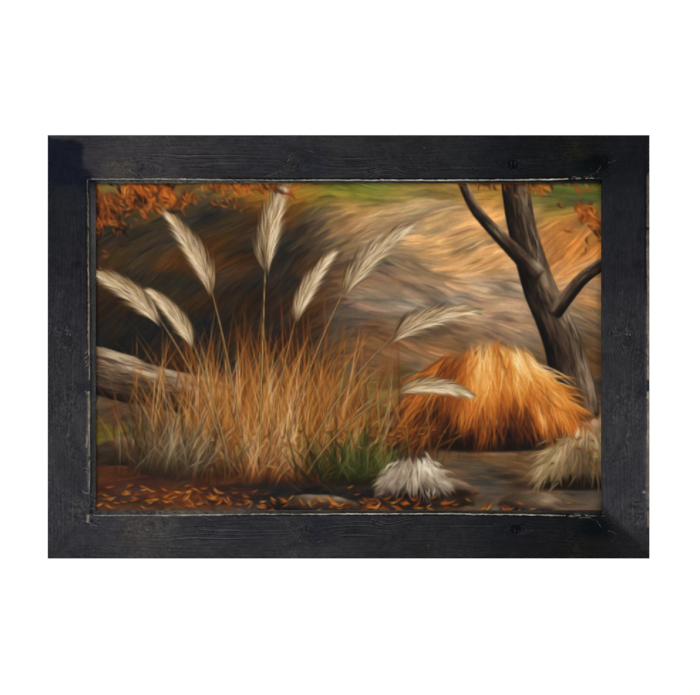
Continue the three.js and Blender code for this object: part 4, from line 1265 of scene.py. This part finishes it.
# fallen and hanging leaves: short dabs in loose drifts
def paintLeaves(picture, random):
    for x0, z0, wide, tall, count in drifts:
        x, z = x0 + random.normal(0, wide, count), z0 + random.normal(0, tall, count)
        size = 3.5 + 4.5 * unit((-60 - z) / 130) * (0.6 + 0.6 * random.random(count))
        picture.strokes(x, z - 1, random.normal(0, 0.5, count), size * 1.5, size * 0.7, (30, 20, 13),
                        opacity=0.4, soft=0.7)
        picture.strokes(x, z, random.normal(0, 0.5, count), size * 1.4, size * 0.5,
                        faded(flameTones, 0.2 + 0.55 * random.random(count)), opacity=0.8, bend=0.1,
                        taper=0.5, grain=0.5, soft=0.5)
    for x0, z0, wide, tall, count, light in boughs:
        lump = Noise(round(x0) + 900)
        for size, value in ((15, 0.16), (10, 0.34), (7, 0.52)):
            x, z = x0 + random.normal(0, wide * 0.6, count), z0 + random.normal(0, tall * 0.6, count)
            keep = lump(x / 16, z / 12, 2) > 0.46
            x, z = x[keep], z[keep]
            tone = value + light + 0.3 * (random.random(len(x)) - 0.5)
            tone += 0.4 * (lump(x / 20 + 7, z / 14, 2) - 0.5)
            angle, length = -0.9 + random.normal(0, 0.6, len(x)), size * (0.7 + 0.6 * random.random(len(x)))
            picture.strokes(x, z, angle, length, size * 0.42, faded(flameTones, tone), opacity=0.78,
                            bend=0.12, taper=0.7, soft=0.5)


def soften(field, count):
    for _ in range(count):
        for axis in (0, 1):
            field = (np.roll(field, 1, axis) + 2 * field + np.roll(field, -1, axis)) / 4
    return field


# the paint at a place between dots, given as row and column
def dotsAt(paint, r, c):
    r, c = np.clip(r, 0, paint.shape[0] - 1.001), np.clip(c, 0, paint.shape[1] - 1.001)
    r0, c0 = r.astype(int), c.astype(int)
    fr, fc = (r - r0)[..., None], (c - c0)[..., None]
    left = paint[r0, c0] * (1 - fr) + paint[r0 + 1, c0] * fr
    return left * (1 - fc) + (paint[r0, c0 + 1] * (1 - fr) + paint[r0 + 1, c0 + 1] * fr) * fc


# the last pass drags the paint a little way along its own lines
def smudge(paint, reach):
    down, right = np.gradient(soften(paint.mean(-1), 2))
    xx, xy, yy = (soften(part, 12) for part in (right * right, right * down, down * down))
    angle = 0.5 * np.arctan2(2 * xy, xx - yy) + math.pi / 2
    rows, cols = np.mgrid[0:paint.shape[0], 0:paint.shape[1]].astype(float)
    total, weight = 0, 0
    for step in np.linspace(-reach, reach, 9):
        here = dotsAt(paint, rows + np.sin(angle) * step, cols + np.cos(angle) * step)
        share = 1 - 0.5 * abs(step) / reach
        total, weight = total + share * here, weight + share
    return total / weight


def paintPicture():
    picture = Canvas()
    random = picture.random
    blockIn(picture, random)
    for limb in limbs:
        paintLimb(picture, **limb)
    print("background painted")
    paintStones(picture, random)
    paintTussock(picture, random, tussocks[0])
    paintFeatherGrass(picture, random)
    for plume in plumes:
        paintPlume(picture, random, plume)
    for mound in tussocks[1:]:
        paintTussock(picture, random, mound)
    paintLeaves(picture, random)
    print("grasses and leaves painted")
    return np.clip(smudge(picture.paint, canvas["smudge"]) * canvas["contrast"] - canvas["deepen"], 0, 255)


printSheet = dict(pitch=1.62, margin=13, weave=0.7, paper=(232, 227, 216), inset=0.5)


def boxOf(node):
    return [np.array(corner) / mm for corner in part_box(node)]


# fine quads over what shows in the opening, and each corner of each quad holds its own dab of ink
def makePrint(paint, material):
    low, high = boxOf("print_sheet")
    middle, size = (low + high) / 2, high - low
    edges = []
    for k in (0, 2):
        start, end = low[k] + printSheet["margin"], high[k] - printSheet["margin"]
        inner = np.linspace(start, end, round((end - start) / printSheet["pitch"]) + 1)
        edges.append(np.concatenate([[low[k]], inner, [high[k]]]))
    x, z, quads, rim = gridOver(*edges)
    front = np.stack([x, 0 * x + low[1], z], -1).reshape(-1, 3)
    behind = front[rim].copy()
    behind[:, 1] = high[1]
    around = len(front) + np.arange(len(rim))
    points = np.concatenate([front, behind, [(middle[0], high[1], middle[2])]])
    fan = np.stack([around, np.full(len(rim), len(points) - 1), np.roll(around, -1)], -1)
    faces = quads.tolist() + bridge(rim, around).tolist() + fan.tolist()
    piece = newPiece("artPrint", points, faces, [material])
    mesh = piece.data

    # each colour is taken part of the way in from its corner
    corner, inset = points[quads][..., [0, 2]], printSheet["inset"]
    spot = (1 - inset) * corner + inset * corner.mean(1, keepdims=True) - middle[[0, 2]]
    down = (canvas["tall"] / 2 - spot[..., 1]) * canvas["dots"] - 0.5
    along = (spot[..., 0] + canvas["wide"] / 2) * canvas["dots"] - 0.5
    ink = toLinear(dotsAt(paint, down, along)).reshape(-1, 3)
    paper = np.tile(toLinear(printSheet["paper"]), (len(mesh.loops) - len(ink), 1))
    setColours(mesh, "ink", np.concatenate([ink, paper]), "CORNER")

    # the bake map: the front below, the back above it, the edges in a strip along the top
    part = (points - low) / size
    flat = np.stack([0.005 + 0.99 * part[:, 0], 0.005 + 0.66 * part[:, 2]], -1)
    back = np.stack([0.005 + 0.99 * part[:, 0], 0.69 + 0.28 * part[:, 2]], -1)
    ends = np.arange(len(rim))[:, None] + np.array([0, 0, 1, 1])
    strip = np.stack([0.005 + 0.99 * ends / len(rim), 0 * ends + [0.98, 0.99, 0.99, 0.98]], -1)
    parts = [flat[quads].reshape(-1, 2), strip.reshape(-1, 2), back[fan].reshape(-1, 2)]
    setMap(mesh, "OFBake", np.concatenate(parts))
    return piece


def makePrintFinish():
    material, n, shader = newMaterial("mattePrint")
    here = n.position()
    dust = n.place(grit, Vector=here)
    threads = n.add("ShaderNodeSeparateXYZ", {0: here}).outputs
    turn = 2 * math.pi / (printSheet["weave"] * mm)
    warp, weft = (n.math("SINE", n.times(threads[k], turn)) for k in (0, 2))
    weave = n.times(warp, weft)
    slub = n.noise(n.scaled(here, (1, 1, 14)), 60.0, 2.0)
    value = n.sum(1.0, n.times(weave, 0.035), n.swing(dust["Tooth"], -0.045, 0.045),
                  n.swing(slub, -0.02, 0.02))
    height = n.sum(n.times(weave, 0.5), n.times(slub, 0.4), n.times(dust["Tooth"], 0.3))
    finish(n, shader, n.shade(n.read("ink", "Color"), value), n.swing(dust["Blotch"], 0.62, 0.72), height,
           0.3, 0.15, specular=0.12)
    return material


boardCuts = {
    "mount_board": dict(name="mountBoard", pitch=9, ease=0.5, nibble=0.12, bow=0, seed=71),
    "back_board": dict(name="backBoard", pitch=6, ease=0.35, nibble=0.3, bow=0.35, seed=72),
}


# a board cut from a sheet: eased, slightly nibbled edges and a face that isn't quite flat
def makeBoard(node, material):
    cut = boardCuts[node]
    low, high = boxOf(node)
    size = high - low
    spans = [np.linspace(0, 1, round(size[k] / cut["pitch"]) + 1) for k in (0, 2)]
    x, z, quads, rim = gridOver(*spans)
    ease, rough = cut["ease"], Noise(cut["seed"])
    deep = size[1] / ease

    # one layer of the board, at a depth and an inset that are both counted in eases
    def layer(depth, inset):
        gx, gz = low[0] + x * size[0], low[2] + z * size[2]
        eat = ease * inset + cut["nibble"] * smooth(0.5, 0.75, rough(gx / 7, gz / 7 + depth * 0.4, 3))
        px, pz = np.clip(gx, low[0] + eat, high[0] - eat), np.clip(gz, low[2] + eat, high[2] - eat)
        return np.stack([px, 0 * px + low[1] + depth * ease, pz], -1).reshape(-1, 3)

    front, back = layer(0, 1), layer(deep, 1)
    bulge = np.minimum(1, 3 * x * (1 - x)) * np.minimum(1, 3 * z * (1 - z)) * rough(x * 3 + 7, z * 2 + 3, 2)
    back[:, 1] -= cut["bow"] * bulge.ravel()
    edge = [layer(*row)[rim] for row in ((0.3, 0.3), (1, 0), (deep - 1, 0), (deep - 0.3, 0.3))]
    between = 2 * x.size + np.arange(4 * len(rim)).reshape(4, -1)
    loops = [rim, *between, rim + x.size]
    faces = [quads, quads[:, ::-1] + x.size] + [bridge(*pair) for pair in zip(loops, loops[1:])]
    piece = newPiece(cut["name"], np.concatenate([front, back, *edge]), np.concatenate(faces), [material])
    smoothShade(piece.data, 50)
    return piece


# a geometry tree with an input for each of a piece's sizes in mm, and then those sizes in metres
def newTree(name, sizes):
    inputs = [("Geometry", "NodeSocketGeometry", None), ("Material", "NodeSocketMaterial", None)]
    inputs += [(label, "NodeSocketInt" if isinstance(value, int) else "NodeSocketFloat", value)
               for label, value in {"Seed": 7, **sizes}.items()]
    tree, n, start, end = newGroup(name, inputs, [("Geometry", "NodeSocketGeometry")], "GeometryNodeTree")
    metres = [n.times(start[label], mm) for label in sizes if label not in ("skew", "teeth")]
    return tree, n, start, end, metres


def vector(n, x=0.0, y=0.0, z=0.0):
    return n.add("ShaderNodeCombineXYZ", {0: x, 1: y, 2: z}).outputs[0]


def pointPlace(n):
    return n.add("ShaderNodeSeparateXYZ", {0: n.add("GeometryNodeInputPosition").outputs[0]}).outputs


def shape(n, kind, **links):
    links = {key.replace("_", " "): value for key, value in links.items()}
    return n.add("GeometryNode" + kind, links).outputs[0]


def endTree(n, start, end, geometry):
    real = shape(n, "RealizeInstances", Geometry=geometry)
    n.join(shape(n, "SetMaterial", Geometry=real, Material=start["Material"]), end["Geometry"])


# one copy of a shape at each point, turned as the point says and a little askew, then made one mesh
def copyToPoints(n, start, end, instance):
    turn = n.add("GeometryNodeInputNamedAttribute", {"Name": "turn"}, data_type="FLOAT_VECTOR").outputs[0]
    span = {"Min": n.times(start["skew"], -1.0), "Max": start["skew"], "Seed": start["Seed"]}
    askew = n.add("FunctionNodeRandomValue", span, data_type="FLOAT").outputs["Value"]
    both = n.add("ShaderNodeVectorMath", {0: turn, 1: vector(n, y=askew)}, operation="ADD").outputs[0]
    rotation = n.add("FunctionNodeEulerToRotation", {0: both}).outputs[0]
    endTree(n, start, end, shape(n, "InstanceOnPoints", Points=start["Geometry"], Instance=instance,
                                 Rotation=rotation))


# runs a tree on a carrier mesh and keeps the plain mesh it makes
def grow(carrier, tree, material, sizes, bevel=0.0):
    modifier = carrier.modifiers.new("grow", "NODES")
    modifier.node_group = tree
    values = {**sizes, "Material": material}
    for socket in tree.interface.items_tree:
        if socket.in_out == "INPUT" and socket.name in values:
            modifier[socket.identifier] = values[socket.name]
    if bevel:
        ease = carrier.modifiers.new("ease", "BEVEL")
        ease.width, ease.segments, ease.limit_method = bevel * mm, 2, "ANGLE"
    seen = bpy.context.evaluated_depsgraph_get()
    mesh = bpy.data.meshes.new_from_object(carrier.evaluated_get(seen), preserve_all_data_layers=True,
                                           depsgraph=seen)
    carrier.modifiers.clear()
    piece = bpy.data.objects.new(carrier.name.replace("Places", ""), mesh)
    bpy.data.objects.remove(carrier)
    bpy.context.scene.collection.objects.link(piece)
    smoothShade(mesh, 35)
    return piece


# grows a copy of a piece for each node, from a bare point at the node's place with its turn
def growAt(name, slot, tree, material, sizes, places):
    spots, angles = zip(*places.values())
    carrier = newPiece(name + "Places", spots, [])
    turns = carrier.data.attributes.new("turn", "FLOAT_VECTOR", "POINT").data
    turns.foreach_set("vector", np.array([(0, angle, 0) for angle in angles], np.float32).ravel())
    declare(grow(carrier, tree, material, sizes), slot, *places)


# glazier's points: flat blades with a tip that is driven into the rail and a free end that lifts a little
glazierPoint = dict(counts=dict(top=4, right=3, bottom=4, left=3),
                    sizes=dict(width=8.0, length=19.0, driven=7.0, tip=3.0, thickness=0.6, lift=0.9,
                               skew=0.05))


def makePointTree():
    tree, n, start, end, sizes = newTree("glazierPoint", glazierPoint["sizes"])
    width, length, driven, tip, thickness, lift = sizes
    blade = shape(n, "MeshCube", Size=vector(n, width, thickness, length), Vertices_X=7, Vertices_Y=2,
                  Vertices_Z=20)
    middle = n.math("SUBTRACT", driven, n.times(length, 0.5))
    blade = shape(n, "SetPosition", Geometry=blade, Offset=vector(n, z=middle))
    x, _, z = pointPlace(n)
    toTip = n.math("DIVIDE", n.math("SUBTRACT", driven, z), tip, clamp=True)
    narrow = n.times(x, n.math("SUBTRACT", n.math("MAXIMUM", toTip, 0.06), 1.0))
    free = n.math("DIVIDE", n.times(z, -1.0), n.math("SUBTRACT", length, driven), clamp=True)
    raised = n.times(n.math("POWER", free, 2.0), lift)
    copyToPoints(n, start, end, shape(n, "SetPosition", Geometry=blade, Offset=vector(n, narrow, raised)))
    return tree


def makePoints(steel):
    sizes, places = glazierPoint["sizes"], {}
    face = boxOf("point_top_1")[0][1] + sizes["thickness"] / 2
    turnOf = dict(top=0, right=math.pi / 2, bottom=math.pi, left=-math.pi / 2)
    for side, count in glazierPoint["counts"].items():
        for name in (f"point_{side}_{i + 1}" for i in range(count)):
            low, high = boxOf(name)
            outer = high if side in ("top", "right") else low
            wall = outer - np.sign(outer - (low + high) / 2) * sizes["driven"]
            x, z = ((low + high) / 2)[[0, 2]]
            place = (x, face, wall[2]) if side in ("top", "bottom") else (wall[0], face, z)
            places[name] = (place, turnOf[side])
    growAt("glazierPoints", "point_steel", makePointTree(), steel, sizes, places)


# V-nails: bent strips sunk across the mitres, two to a corner
vNail = dict(fromCorner=(15, 27), proud=0.06,
             sizes=dict(leg=7.0, thickness=0.7, depth=7.0, bend=0.5, skew=0.04))


def makeVNailTree():
    tree, n, start, end, (leg, thickness, depth, bend) = newTree("vNail", vNail["sizes"])
    size = vector(n, n.times(leg, math.sqrt(2)), depth, n.times(thickness, math.sqrt(2)))
    strip = shape(n, "MeshCube", Size=size, Vertices_X=25, Vertices_Y=5, Vertices_Z=2)
    x, _, _ = pointPlace(n)
    reach = n.math("SQRT", n.math("ADD", n.times(x, x), n.times(bend, bend)))
    offset = vector(n, 0.0, n.times(depth, -0.5), n.math("SUBTRACT", bend, reach))
    copyToPoints(n, start, end, shape(n, "SetPosition", Geometry=strip, Offset=offset))
    return tree


def makeVNails(steel):
    places = {}
    for level, side in (("top", "left"), ("top", "right"), ("bottom", "right"), ("bottom", "left")):
        right, up = (1 if side == "right" else -1), (1 if level == "top" else -1)
        for i, inset in enumerate(vNail["fromCorner"]):
            name = f"v_nail_{level}_{side}_{i + 1}"
            place = (frameBox[side] - right * inset, boxOf(name)[1][1] + vNail["proud"],
                     frameBox[level] - up * inset)
            places[name] = (place, math.atan2(right, up))
    growAt("vNails", "point_steel", makeVNailTree(), steel, vNail["sizes"], places)


# the hanger: a bent strip with a row of notches and two nail holes, cut by its tree
sawtooth = dict(tab=7.5, ramp=2, lift=1.7, thickness=0.8, ease=0.12,
                sizes=dict(teeth=7, pitch=3.4, depth=2.0, hole=1.05, holeSpread=37.0, holeHeight=2.5))


def makeNotchTree():
    tree, n, start, end, (pitch, depth, hole, spread, level) = newTree("notchedStrip", sawtooth["sizes"])
    upright = (math.pi / 2, 0, 0)
    wedge = shape(n, "MeshCylinder", Vertices=3, Radius=1.0, Depth=0.02)
    wedge = shape(n, "Transform", Geometry=wedge, Rotation=(0, 0, math.pi / 2))
    tall, wide = n.times(depth, 1.3), n.times(pitch, 1.3 * 0.97 / math.sqrt(3))
    scale = vector(n, wide, n.math("DIVIDE", tall, 1.5), 1.0)
    wedge = shape(n, "Transform", Geometry=wedge, Rotation=upright, Scale=scale)
    first = n.times(pitch, n.times(n.math("SUBTRACT", start["teeth"], 1.0), -0.5))
    row = shape(n, "MeshLine", Count=start["teeth"], Offset=vector(n, pitch),
                Start_Location=vector(n, first, 0.0, n.math("DIVIDE", tall, -1.5)))
    drill = shape(n, "MeshCylinder", Vertices=28, Radius=hole, Depth=0.02)
    drill = shape(n, "Transform", Geometry=drill, Rotation=upright)
    ends = shape(n, "MeshLine", Count=2, Offset=vector(n, spread),
                 Start_Location=vector(n, n.times(spread, -0.5), 0.0, level))
    cutters = n.add("GeometryNodeJoinGeometry")
    for points, cutter in ((row, wedge), (ends, drill)):
        copies = shape(n, "InstanceOnPoints", Points=points, Instance=cutter)
        n.join(shape(n, "RealizeInstances", Geometry=copies), cutters.inputs[0])
    meshes = {"Mesh 1": start["Geometry"], "Mesh 2": cutters.outputs[0]}
    endTree(n, start, end, n.add("GeometryNodeMeshBoolean", meshes, operation="DIFFERENCE").outputs["Mesh"])
    return tree


def bentStrip(node):
    low, high = boxOf(node)
    foot = (high[0] - low[0]) / 2
    bend = foot - sawtooth["tab"]
    xs = np.concatenate([np.linspace(-foot, foot, 61), np.linspace(bend - 3, bend + 1, 17),
                         np.linspace(-bend - 1, 3 - bend, 17)])
    xs = np.unique(np.round(xs, 3))
    rise = sawtooth["lift"] * smooth(bend + 0.4, bend - sawtooth["ramp"] - 0.4, np.abs(xs))
    x, z, quads, rim = gridOver(xs, np.linspace(low[2], high[2], 7))
    middle = (low[0] + high[0]) / 2
    layers = [np.stack([x + middle, low[1] + rise[:, None] + 0 * x + back, z], -1).reshape(-1, 3)
              for back in (0, sawtooth["thickness"])]
    faces = np.concatenate([quads, quads[:, ::-1] + x.size, bridge(rim, rim + x.size)])
    return newPiece("sawtoothHangerPlaces", np.concatenate(layers), faces)


def makeHanger(zinc):
    strip = bentStrip("sawtooth_hanger")
    hanger = grow(strip, makeNotchTree(), zinc, sawtooth["sizes"], sawtooth["ease"])
    declare(hanger, "hanger_steel", "sawtooth_hanger")


tabNail = dict(head=2.1, headThickness=0.7, dome=0.35, shank=0.75, length=9.0, point=1.8, skew=0.6)


def makeNailTree():
    tree, n, start, end, (head, thick, dome, shank, length, point) = newTree("tabNail", tabNail)
    body = n.math("SUBTRACT", length, point)
    straight = shape(n, "MeshCylinder", Vertices=28, Radius=shank, Depth=body)
    straight = shape(n, "Transform", Geometry=straight, Translation=vector(n, z=n.times(body, -0.5)))
    tip = shape(n, "MeshCone", Vertices=28, Radius_Top=0.0, Radius_Bottom=shank, Depth=point)
    tip = shape(n, "Transform", Geometry=tip, Rotation=(math.pi, 0, 0),
                Translation=vector(n, z=n.times(body, -1.0)))
    cap = shape(n, "MeshCylinder", Vertices=40, Side_Segments=3, Fill_Segments=6, Radius=head, Depth=thick)
    x, y, z = pointPlace(n)
    out = n.math("DIVIDE", n.math("SQRT", n.math("ADD", n.times(x, x), n.times(y, y))), head)
    crown = n.times(n.times(n.math("POWER", out, 2.6), dome),
                    n.remap(z, 0.0, n.times(thick, 0.5), 0.0, 1.0, "LINEAR"))
    cap = shape(n, "SetPosition", Geometry=cap, Offset=vector(n, z=n.times(crown, -1.0)))
    cap = shape(n, "Transform", Geometry=cap, Translation=vector(n, z=n.times(thick, 0.5)))
    whole = n.add("GeometryNodeJoinGeometry")
    for part in (straight, tip, cap):
        n.join(part, whole.inputs[0])
    lying = shape(n, "Transform", Geometry=whole.outputs[0], Rotation=(-math.pi / 2, 0, 0))
    copyToPoints(n, start, end, lying)
    return tree


def makeHangerNails(brass):
    places = {}
    for name in ("hanger_nail_1", "hanger_nail_2"):
        low, high = boxOf(name)
        x, _, z = (low + high) / 2
        places[name] = ((x, high[1] - tabNail["headThickness"], z), 0)
    growAt("hangerNails", "nail_brass", makeNailTree(), brass, tabNail, places)


wallBumper = dict(base=6, top=5.2, ease=0.7, ring=3.4, slope=0.5, dish=0.35, middle=0.4, steps=48)


# a round moulding turned about the frame's own depth
def turned(name, profile, middles, material, steps):
    angle = np.linspace(0, 2 * math.pi, steps, endpoint=False)
    radius, depth = (np.array(profile[1:-1])[:, k][:, None] for k in (0, 1))
    ring = np.stack([radius * np.cos(angle), depth + 0 * angle, radius * np.sin(angle)], -1).reshape(-1, 3)
    whole = np.concatenate([ring, [(0, profile[0][1], 0), (0, profile[-1][1], 0)]])
    points, faces = np.concatenate([whole + np.array(middle) for middle in middles]), []
    for at in range(0, len(points), len(whole)):
        index = at + np.arange(len(ring)).reshape(-1, steps)
        beside = np.roll(index, -1, 1)
        faces += np.stack([index[:-1], beside[:-1], beside[1:], index[1:]], -1).reshape(-1, 4).tolist()
        first, last = at + len(ring), at + len(ring) + 1
        faces += [[first, b, a] for a, b in zip(index[0], beside[0])]
        faces += [[last, a, b] for a, b in zip(index[-1], beside[-1])]
    piece = newPiece(name, points, faces, [material])
    smoothShade(piece.data, 40)
    return piece


def makeBumpers(rubber):
    s, boxes = wallBumper, (boxOf("bumper_left"), boxOf("bumper_right"))
    deep, ease = boxes[0][1][1] - boxes[0][0][1], s["ease"]
    dish = deep - s["dish"]
    arris = [(s["top"] - ease + ease * math.sin(a), deep - ease + ease * math.cos(a))
             for a in np.linspace(1.35, 0, 6)]
    profile = [(0, 0), (s["base"], 0), (s["base"], 0.5 * deep), *arris, (s["ring"], deep),
               (s["ring"] - s["slope"], dish), (s["middle"], dish), (0, dish)]
    middles = [((low[0] + high[0]) / 2, low[1], (low[2] + high[2]) / 2) for low, high in boxes]
    piece = turned("wallBumpers", profile, middles, rubber, s["steps"])
    declare(piece, "bumper_rubber", "bumper_left", "bumper_right")


# slow clouds, small spots and fine wiped scratches on metal
def makeTarnish():
    tree, n, at, end = newPattern("tarnish", ("Cloud", "Spot", "Scratch"))
    n.join(n.noise(at, 180.0, 3.0, 0.6), end["Cloud"])
    n.join(n.remap(n.noise(n.scaled(at, location=(2, 5, 1)), 700.0, 2.0), 0.6, 0.72), end["Spot"])
    n.join(n.remap(n.noise(n.scaled(at, (0.08, 1, 1), (7, 0, 3)), 2600.0, 2.0), 0.55, 0.75), end["Scratch"])
    return tree


def makeMetal(name, tarnish, bright, dull, spots, metallic, rough):
    material, n, shader = newMaterial(name)
    marks = n.place(tarnish, Vector=n.position())
    spot, scratch = marks["Spot"], marks["Scratch"]
    colour = n.mix(n.remap(marks["Cloud"], 0.35, 0.65), rgba(*bright), rgba(*dull))
    colour = n.tint(n.times(spot, 0.6), colour, *spots)
    colour = n.tint(n.times(scratch, 0.25), colour, *bright)
    n.join(n.math("SUBTRACT", metallic, n.times(spot, 0.5)), shader.inputs["Metallic"])
    roughness = n.sum(n.swing(marks["Cloud"], rough, rough + 0.16), n.times(spot, 0.2))
    height = n.sum(n.times(scratch, -0.5), n.times(spot, 0.3))
    finish(n, shader, colour, roughness, height, 0.3, 0.05)
    return material


def makePulpBoard(name, light, dark, fleck, rough, cloud):
    material, n, shader = newMaterial(name)
    here = n.position()
    dust, wide = n.place(grit, Vector=here), n.place(grit, Vector=here, Size=5.0)
    hairs = n.remap(n.noise(n.scaled(here, (1, 1, 3.5)), 380.0, 3.0, 0.6, 1.4), 0.58, 0.72)
    tone = n.sum(n.times(n.swing(wide["Blotch"]), cloud), n.times(dust["Blotch"], 0.3),
                 n.swing(dust["Tooth"], -0.15, 0.15))
    colour = n.mix(n.remap(tone, 0.0, 0.9), rgba(*light), rgba(*dark))
    colour = n.tint(n.times(hairs, 0.35), colour, *fleck)
    scuff = n.remap(n.noise(n.scaled(here, (0.25, 1, 1.6), (3, 0, 5)), 60.0, 4.0, 0.7), 0.64, 0.76)
    colour = n.tint(n.times(scuff, 0.3), colour, *[min(255, c + 46) for c in light])
    roughness = n.sum(n.swing(wide["Blotch"], rough, rough + 0.1), n.times(scuff, 0.15))
    height = n.sum(n.times(hairs, -0.4), n.times(dust["Tooth"], 0.4))
    finish(n, shader, colour, roughness, height, 0.35, 0.2, specular=0.3)
    return material


def makeRubber():
    material, n, shader = newMaterial("mouldedRubber")
    dust = n.place(grit, Vector=n.position(), Size=0.5)
    colour = n.mix(n.swing(dust["Tooth"]), rgba(24, 24, 26), rgba(40, 40, 42))
    colour = n.tint(n.times(dust["Speck"], 0.3), colour, 120, 116, 108)
    finish(n, shader, colour, n.swing(dust["Blotch"], 0.62, 0.78), dust["Tooth"], 0.3, 0.15, specular=0.4)
    return material


# the lamps' places are from the frame's middle, in metres: name, place, size, power
studio = dict(lens=250, sensor=36, distance=5.548, aside=0.0016, above=-0.00076, wrap=0.3, backdrop=1.05,
              floorSize=6, floorDrop=1.3, floorTone=0.8,
              lamps=[("key", (-1.5, -1.5, 1.6), 0.9, 46), ("fill", (1.7, -1.7, 0.5), 1.2, 16),
                     ("behind", (0.8, 2.2, 1.2), 1.4, 30), ("leftSide", (-2.4, 0.75, 0.3), 1.2, 24),
                     ("rightSide", (2.4, 0.75, 0.3), 1.2, 24)])


def makeLamp(target, name, place, size, power):
    light = bpy.data.lights.new(name, "AREA")
    light.size, light.energy = size, power
    holder = bpy.data.objects.new(name, light)
    holder.location = target + Vector(place)
    holder.rotation_euler = (target - holder.location).to_track_quat("-Z", "Y").to_euler()
    bpy.context.scene.collection.objects.link(holder)


# the camera sees a plain white ground, and the frame is lit by a dimmer one
def makeWorld(scene):
    scene.world = bpy.data.worlds.new("studio")
    scene.world.use_nodes = True
    scene.world.node_tree.nodes.clear()
    n = Nodes(scene.world.node_tree)
    seen = n.add("ShaderNodeLightPath").outputs["Is Camera Ray"]
    dim, white = (n.add("ShaderNodeBackground", {"Color": (1, 1, 1, 1), "Strength": strength}).outputs[0]
                  for strength in (studio["wrap"], studio["backdrop"]))
    both = n.add("ShaderNodeMixShader", {0: seen, 1: dim, 2: white})
    n.add("ShaderNodeOutputWorld", {"Surface": both.outputs[0]})


def makeStage():
    scene = bpy.context.scene
    scene.view_settings.view_transform = "Standard"
    makeWorld(scene)
    middle = Vector(((cadBox[0][i] + cadBox[1][i]) / 2 for i in range(3)))
    camera = bpy.data.cameras.new("frontView")
    camera.lens, camera.sensor_width, camera.clip_end = studio["lens"], studio["sensor"], 60
    eye = bpy.data.objects.new("frontView", camera)
    eye.location = middle + Vector((studio["aside"], -studio["distance"], studio["above"]))
    eye.rotation_euler = (math.pi / 2, 0, 0)
    scene.collection.objects.link(eye)
    scene.camera = eye
    for lamp in studio["lamps"]:
        makeLamp(middle, *lamp)
    bpy.ops.mesh.primitive_plane_add(size=studio["floorSize"],
                                     location=(middle.x, 0, middle.z - studio["floorDrop"]))
    floor = bpy.context.object
    floor.name = "floor"
    material, _, shader = newMaterial("paleFloor")
    shader.inputs["Base Color"].default_value = (*[studio["floorTone"]] * 3, 1)
    shader.inputs["Roughness"].default_value = 0.8
    floor.data.materials.append(material)


makeStage()
print("stage ready")

boxes = {node: boxOf(node) for node in boards}
frameBox = dict(left=boxes["rail_left"][0][0], right=boxes["rail_right"][1][0], top=boxes["rail_top"][1][2],
                bottom=boxes["rail_bottom"][0][2], back=boxes["rail_top"][1][1])
# each rail's outer corner, and its ways along and in
ways = {
    "rail_top": ("left", "top", (1, 0, 0), (0, 0, -1)),
    "rail_bottom": ("left", "bottom", (1, 0, 0), (0, 0, 1)),
    "rail_left": ("left", "top", (0, 0, -1), (1, 0, 0)),
    "rail_right": ("right", "top", (0, 0, -1), (-1, 0, 0)),
}
railFinishes = (makeCharcoalPaint(), makeRawPine())
for node, (side, level, along, inward) in ways.items():
    corner = (frameBox[side], frameBox["back"], frameBox[level])
    declare(makeRail(node, corner, along, inward, railFinishes), "painted_wood", node)
print("rails ready")

declare(makePrint(paintPicture(), makePrintFinish()), "art_print", "print_sheet")
print("print ready")

fibre = makePulpBoard("paleFibreBoard", (222, 216, 202), (200, 192, 176), (176, 164, 142), 0.8, 0.25)
hardboard = makePulpBoard("brownHardboard", (134, 98, 66), (98, 66, 41), (70, 46, 30), 0.5, 0.45)
declare(makeBoard("mount_board", fibre), "mount_board", "mount_board")
declare(makeBoard("back_board", hardboard), "hardboard", "back_board")

tarnish = makeTarnish()
steel = makeMetal("dullSteel", tarnish, (168, 166, 162), (118, 114, 110), (92, 66, 46), 0.9, 0.34)
zinc = makeMetal("zincPlate", tarnish, (206, 208, 206), (164, 167, 168), (216, 214, 206), 0.95, 0.26)
brass = makeMetal("brassPlate", tarnish, (222, 184, 108), (184, 142, 74), (120, 88, 44), 1.0, 0.22)
makePoints(steel)
makeVNails(steel)
makeHanger(zinc)
makeHangerNails(brass)
makeBumpers(makeRubber())
print("back ready")
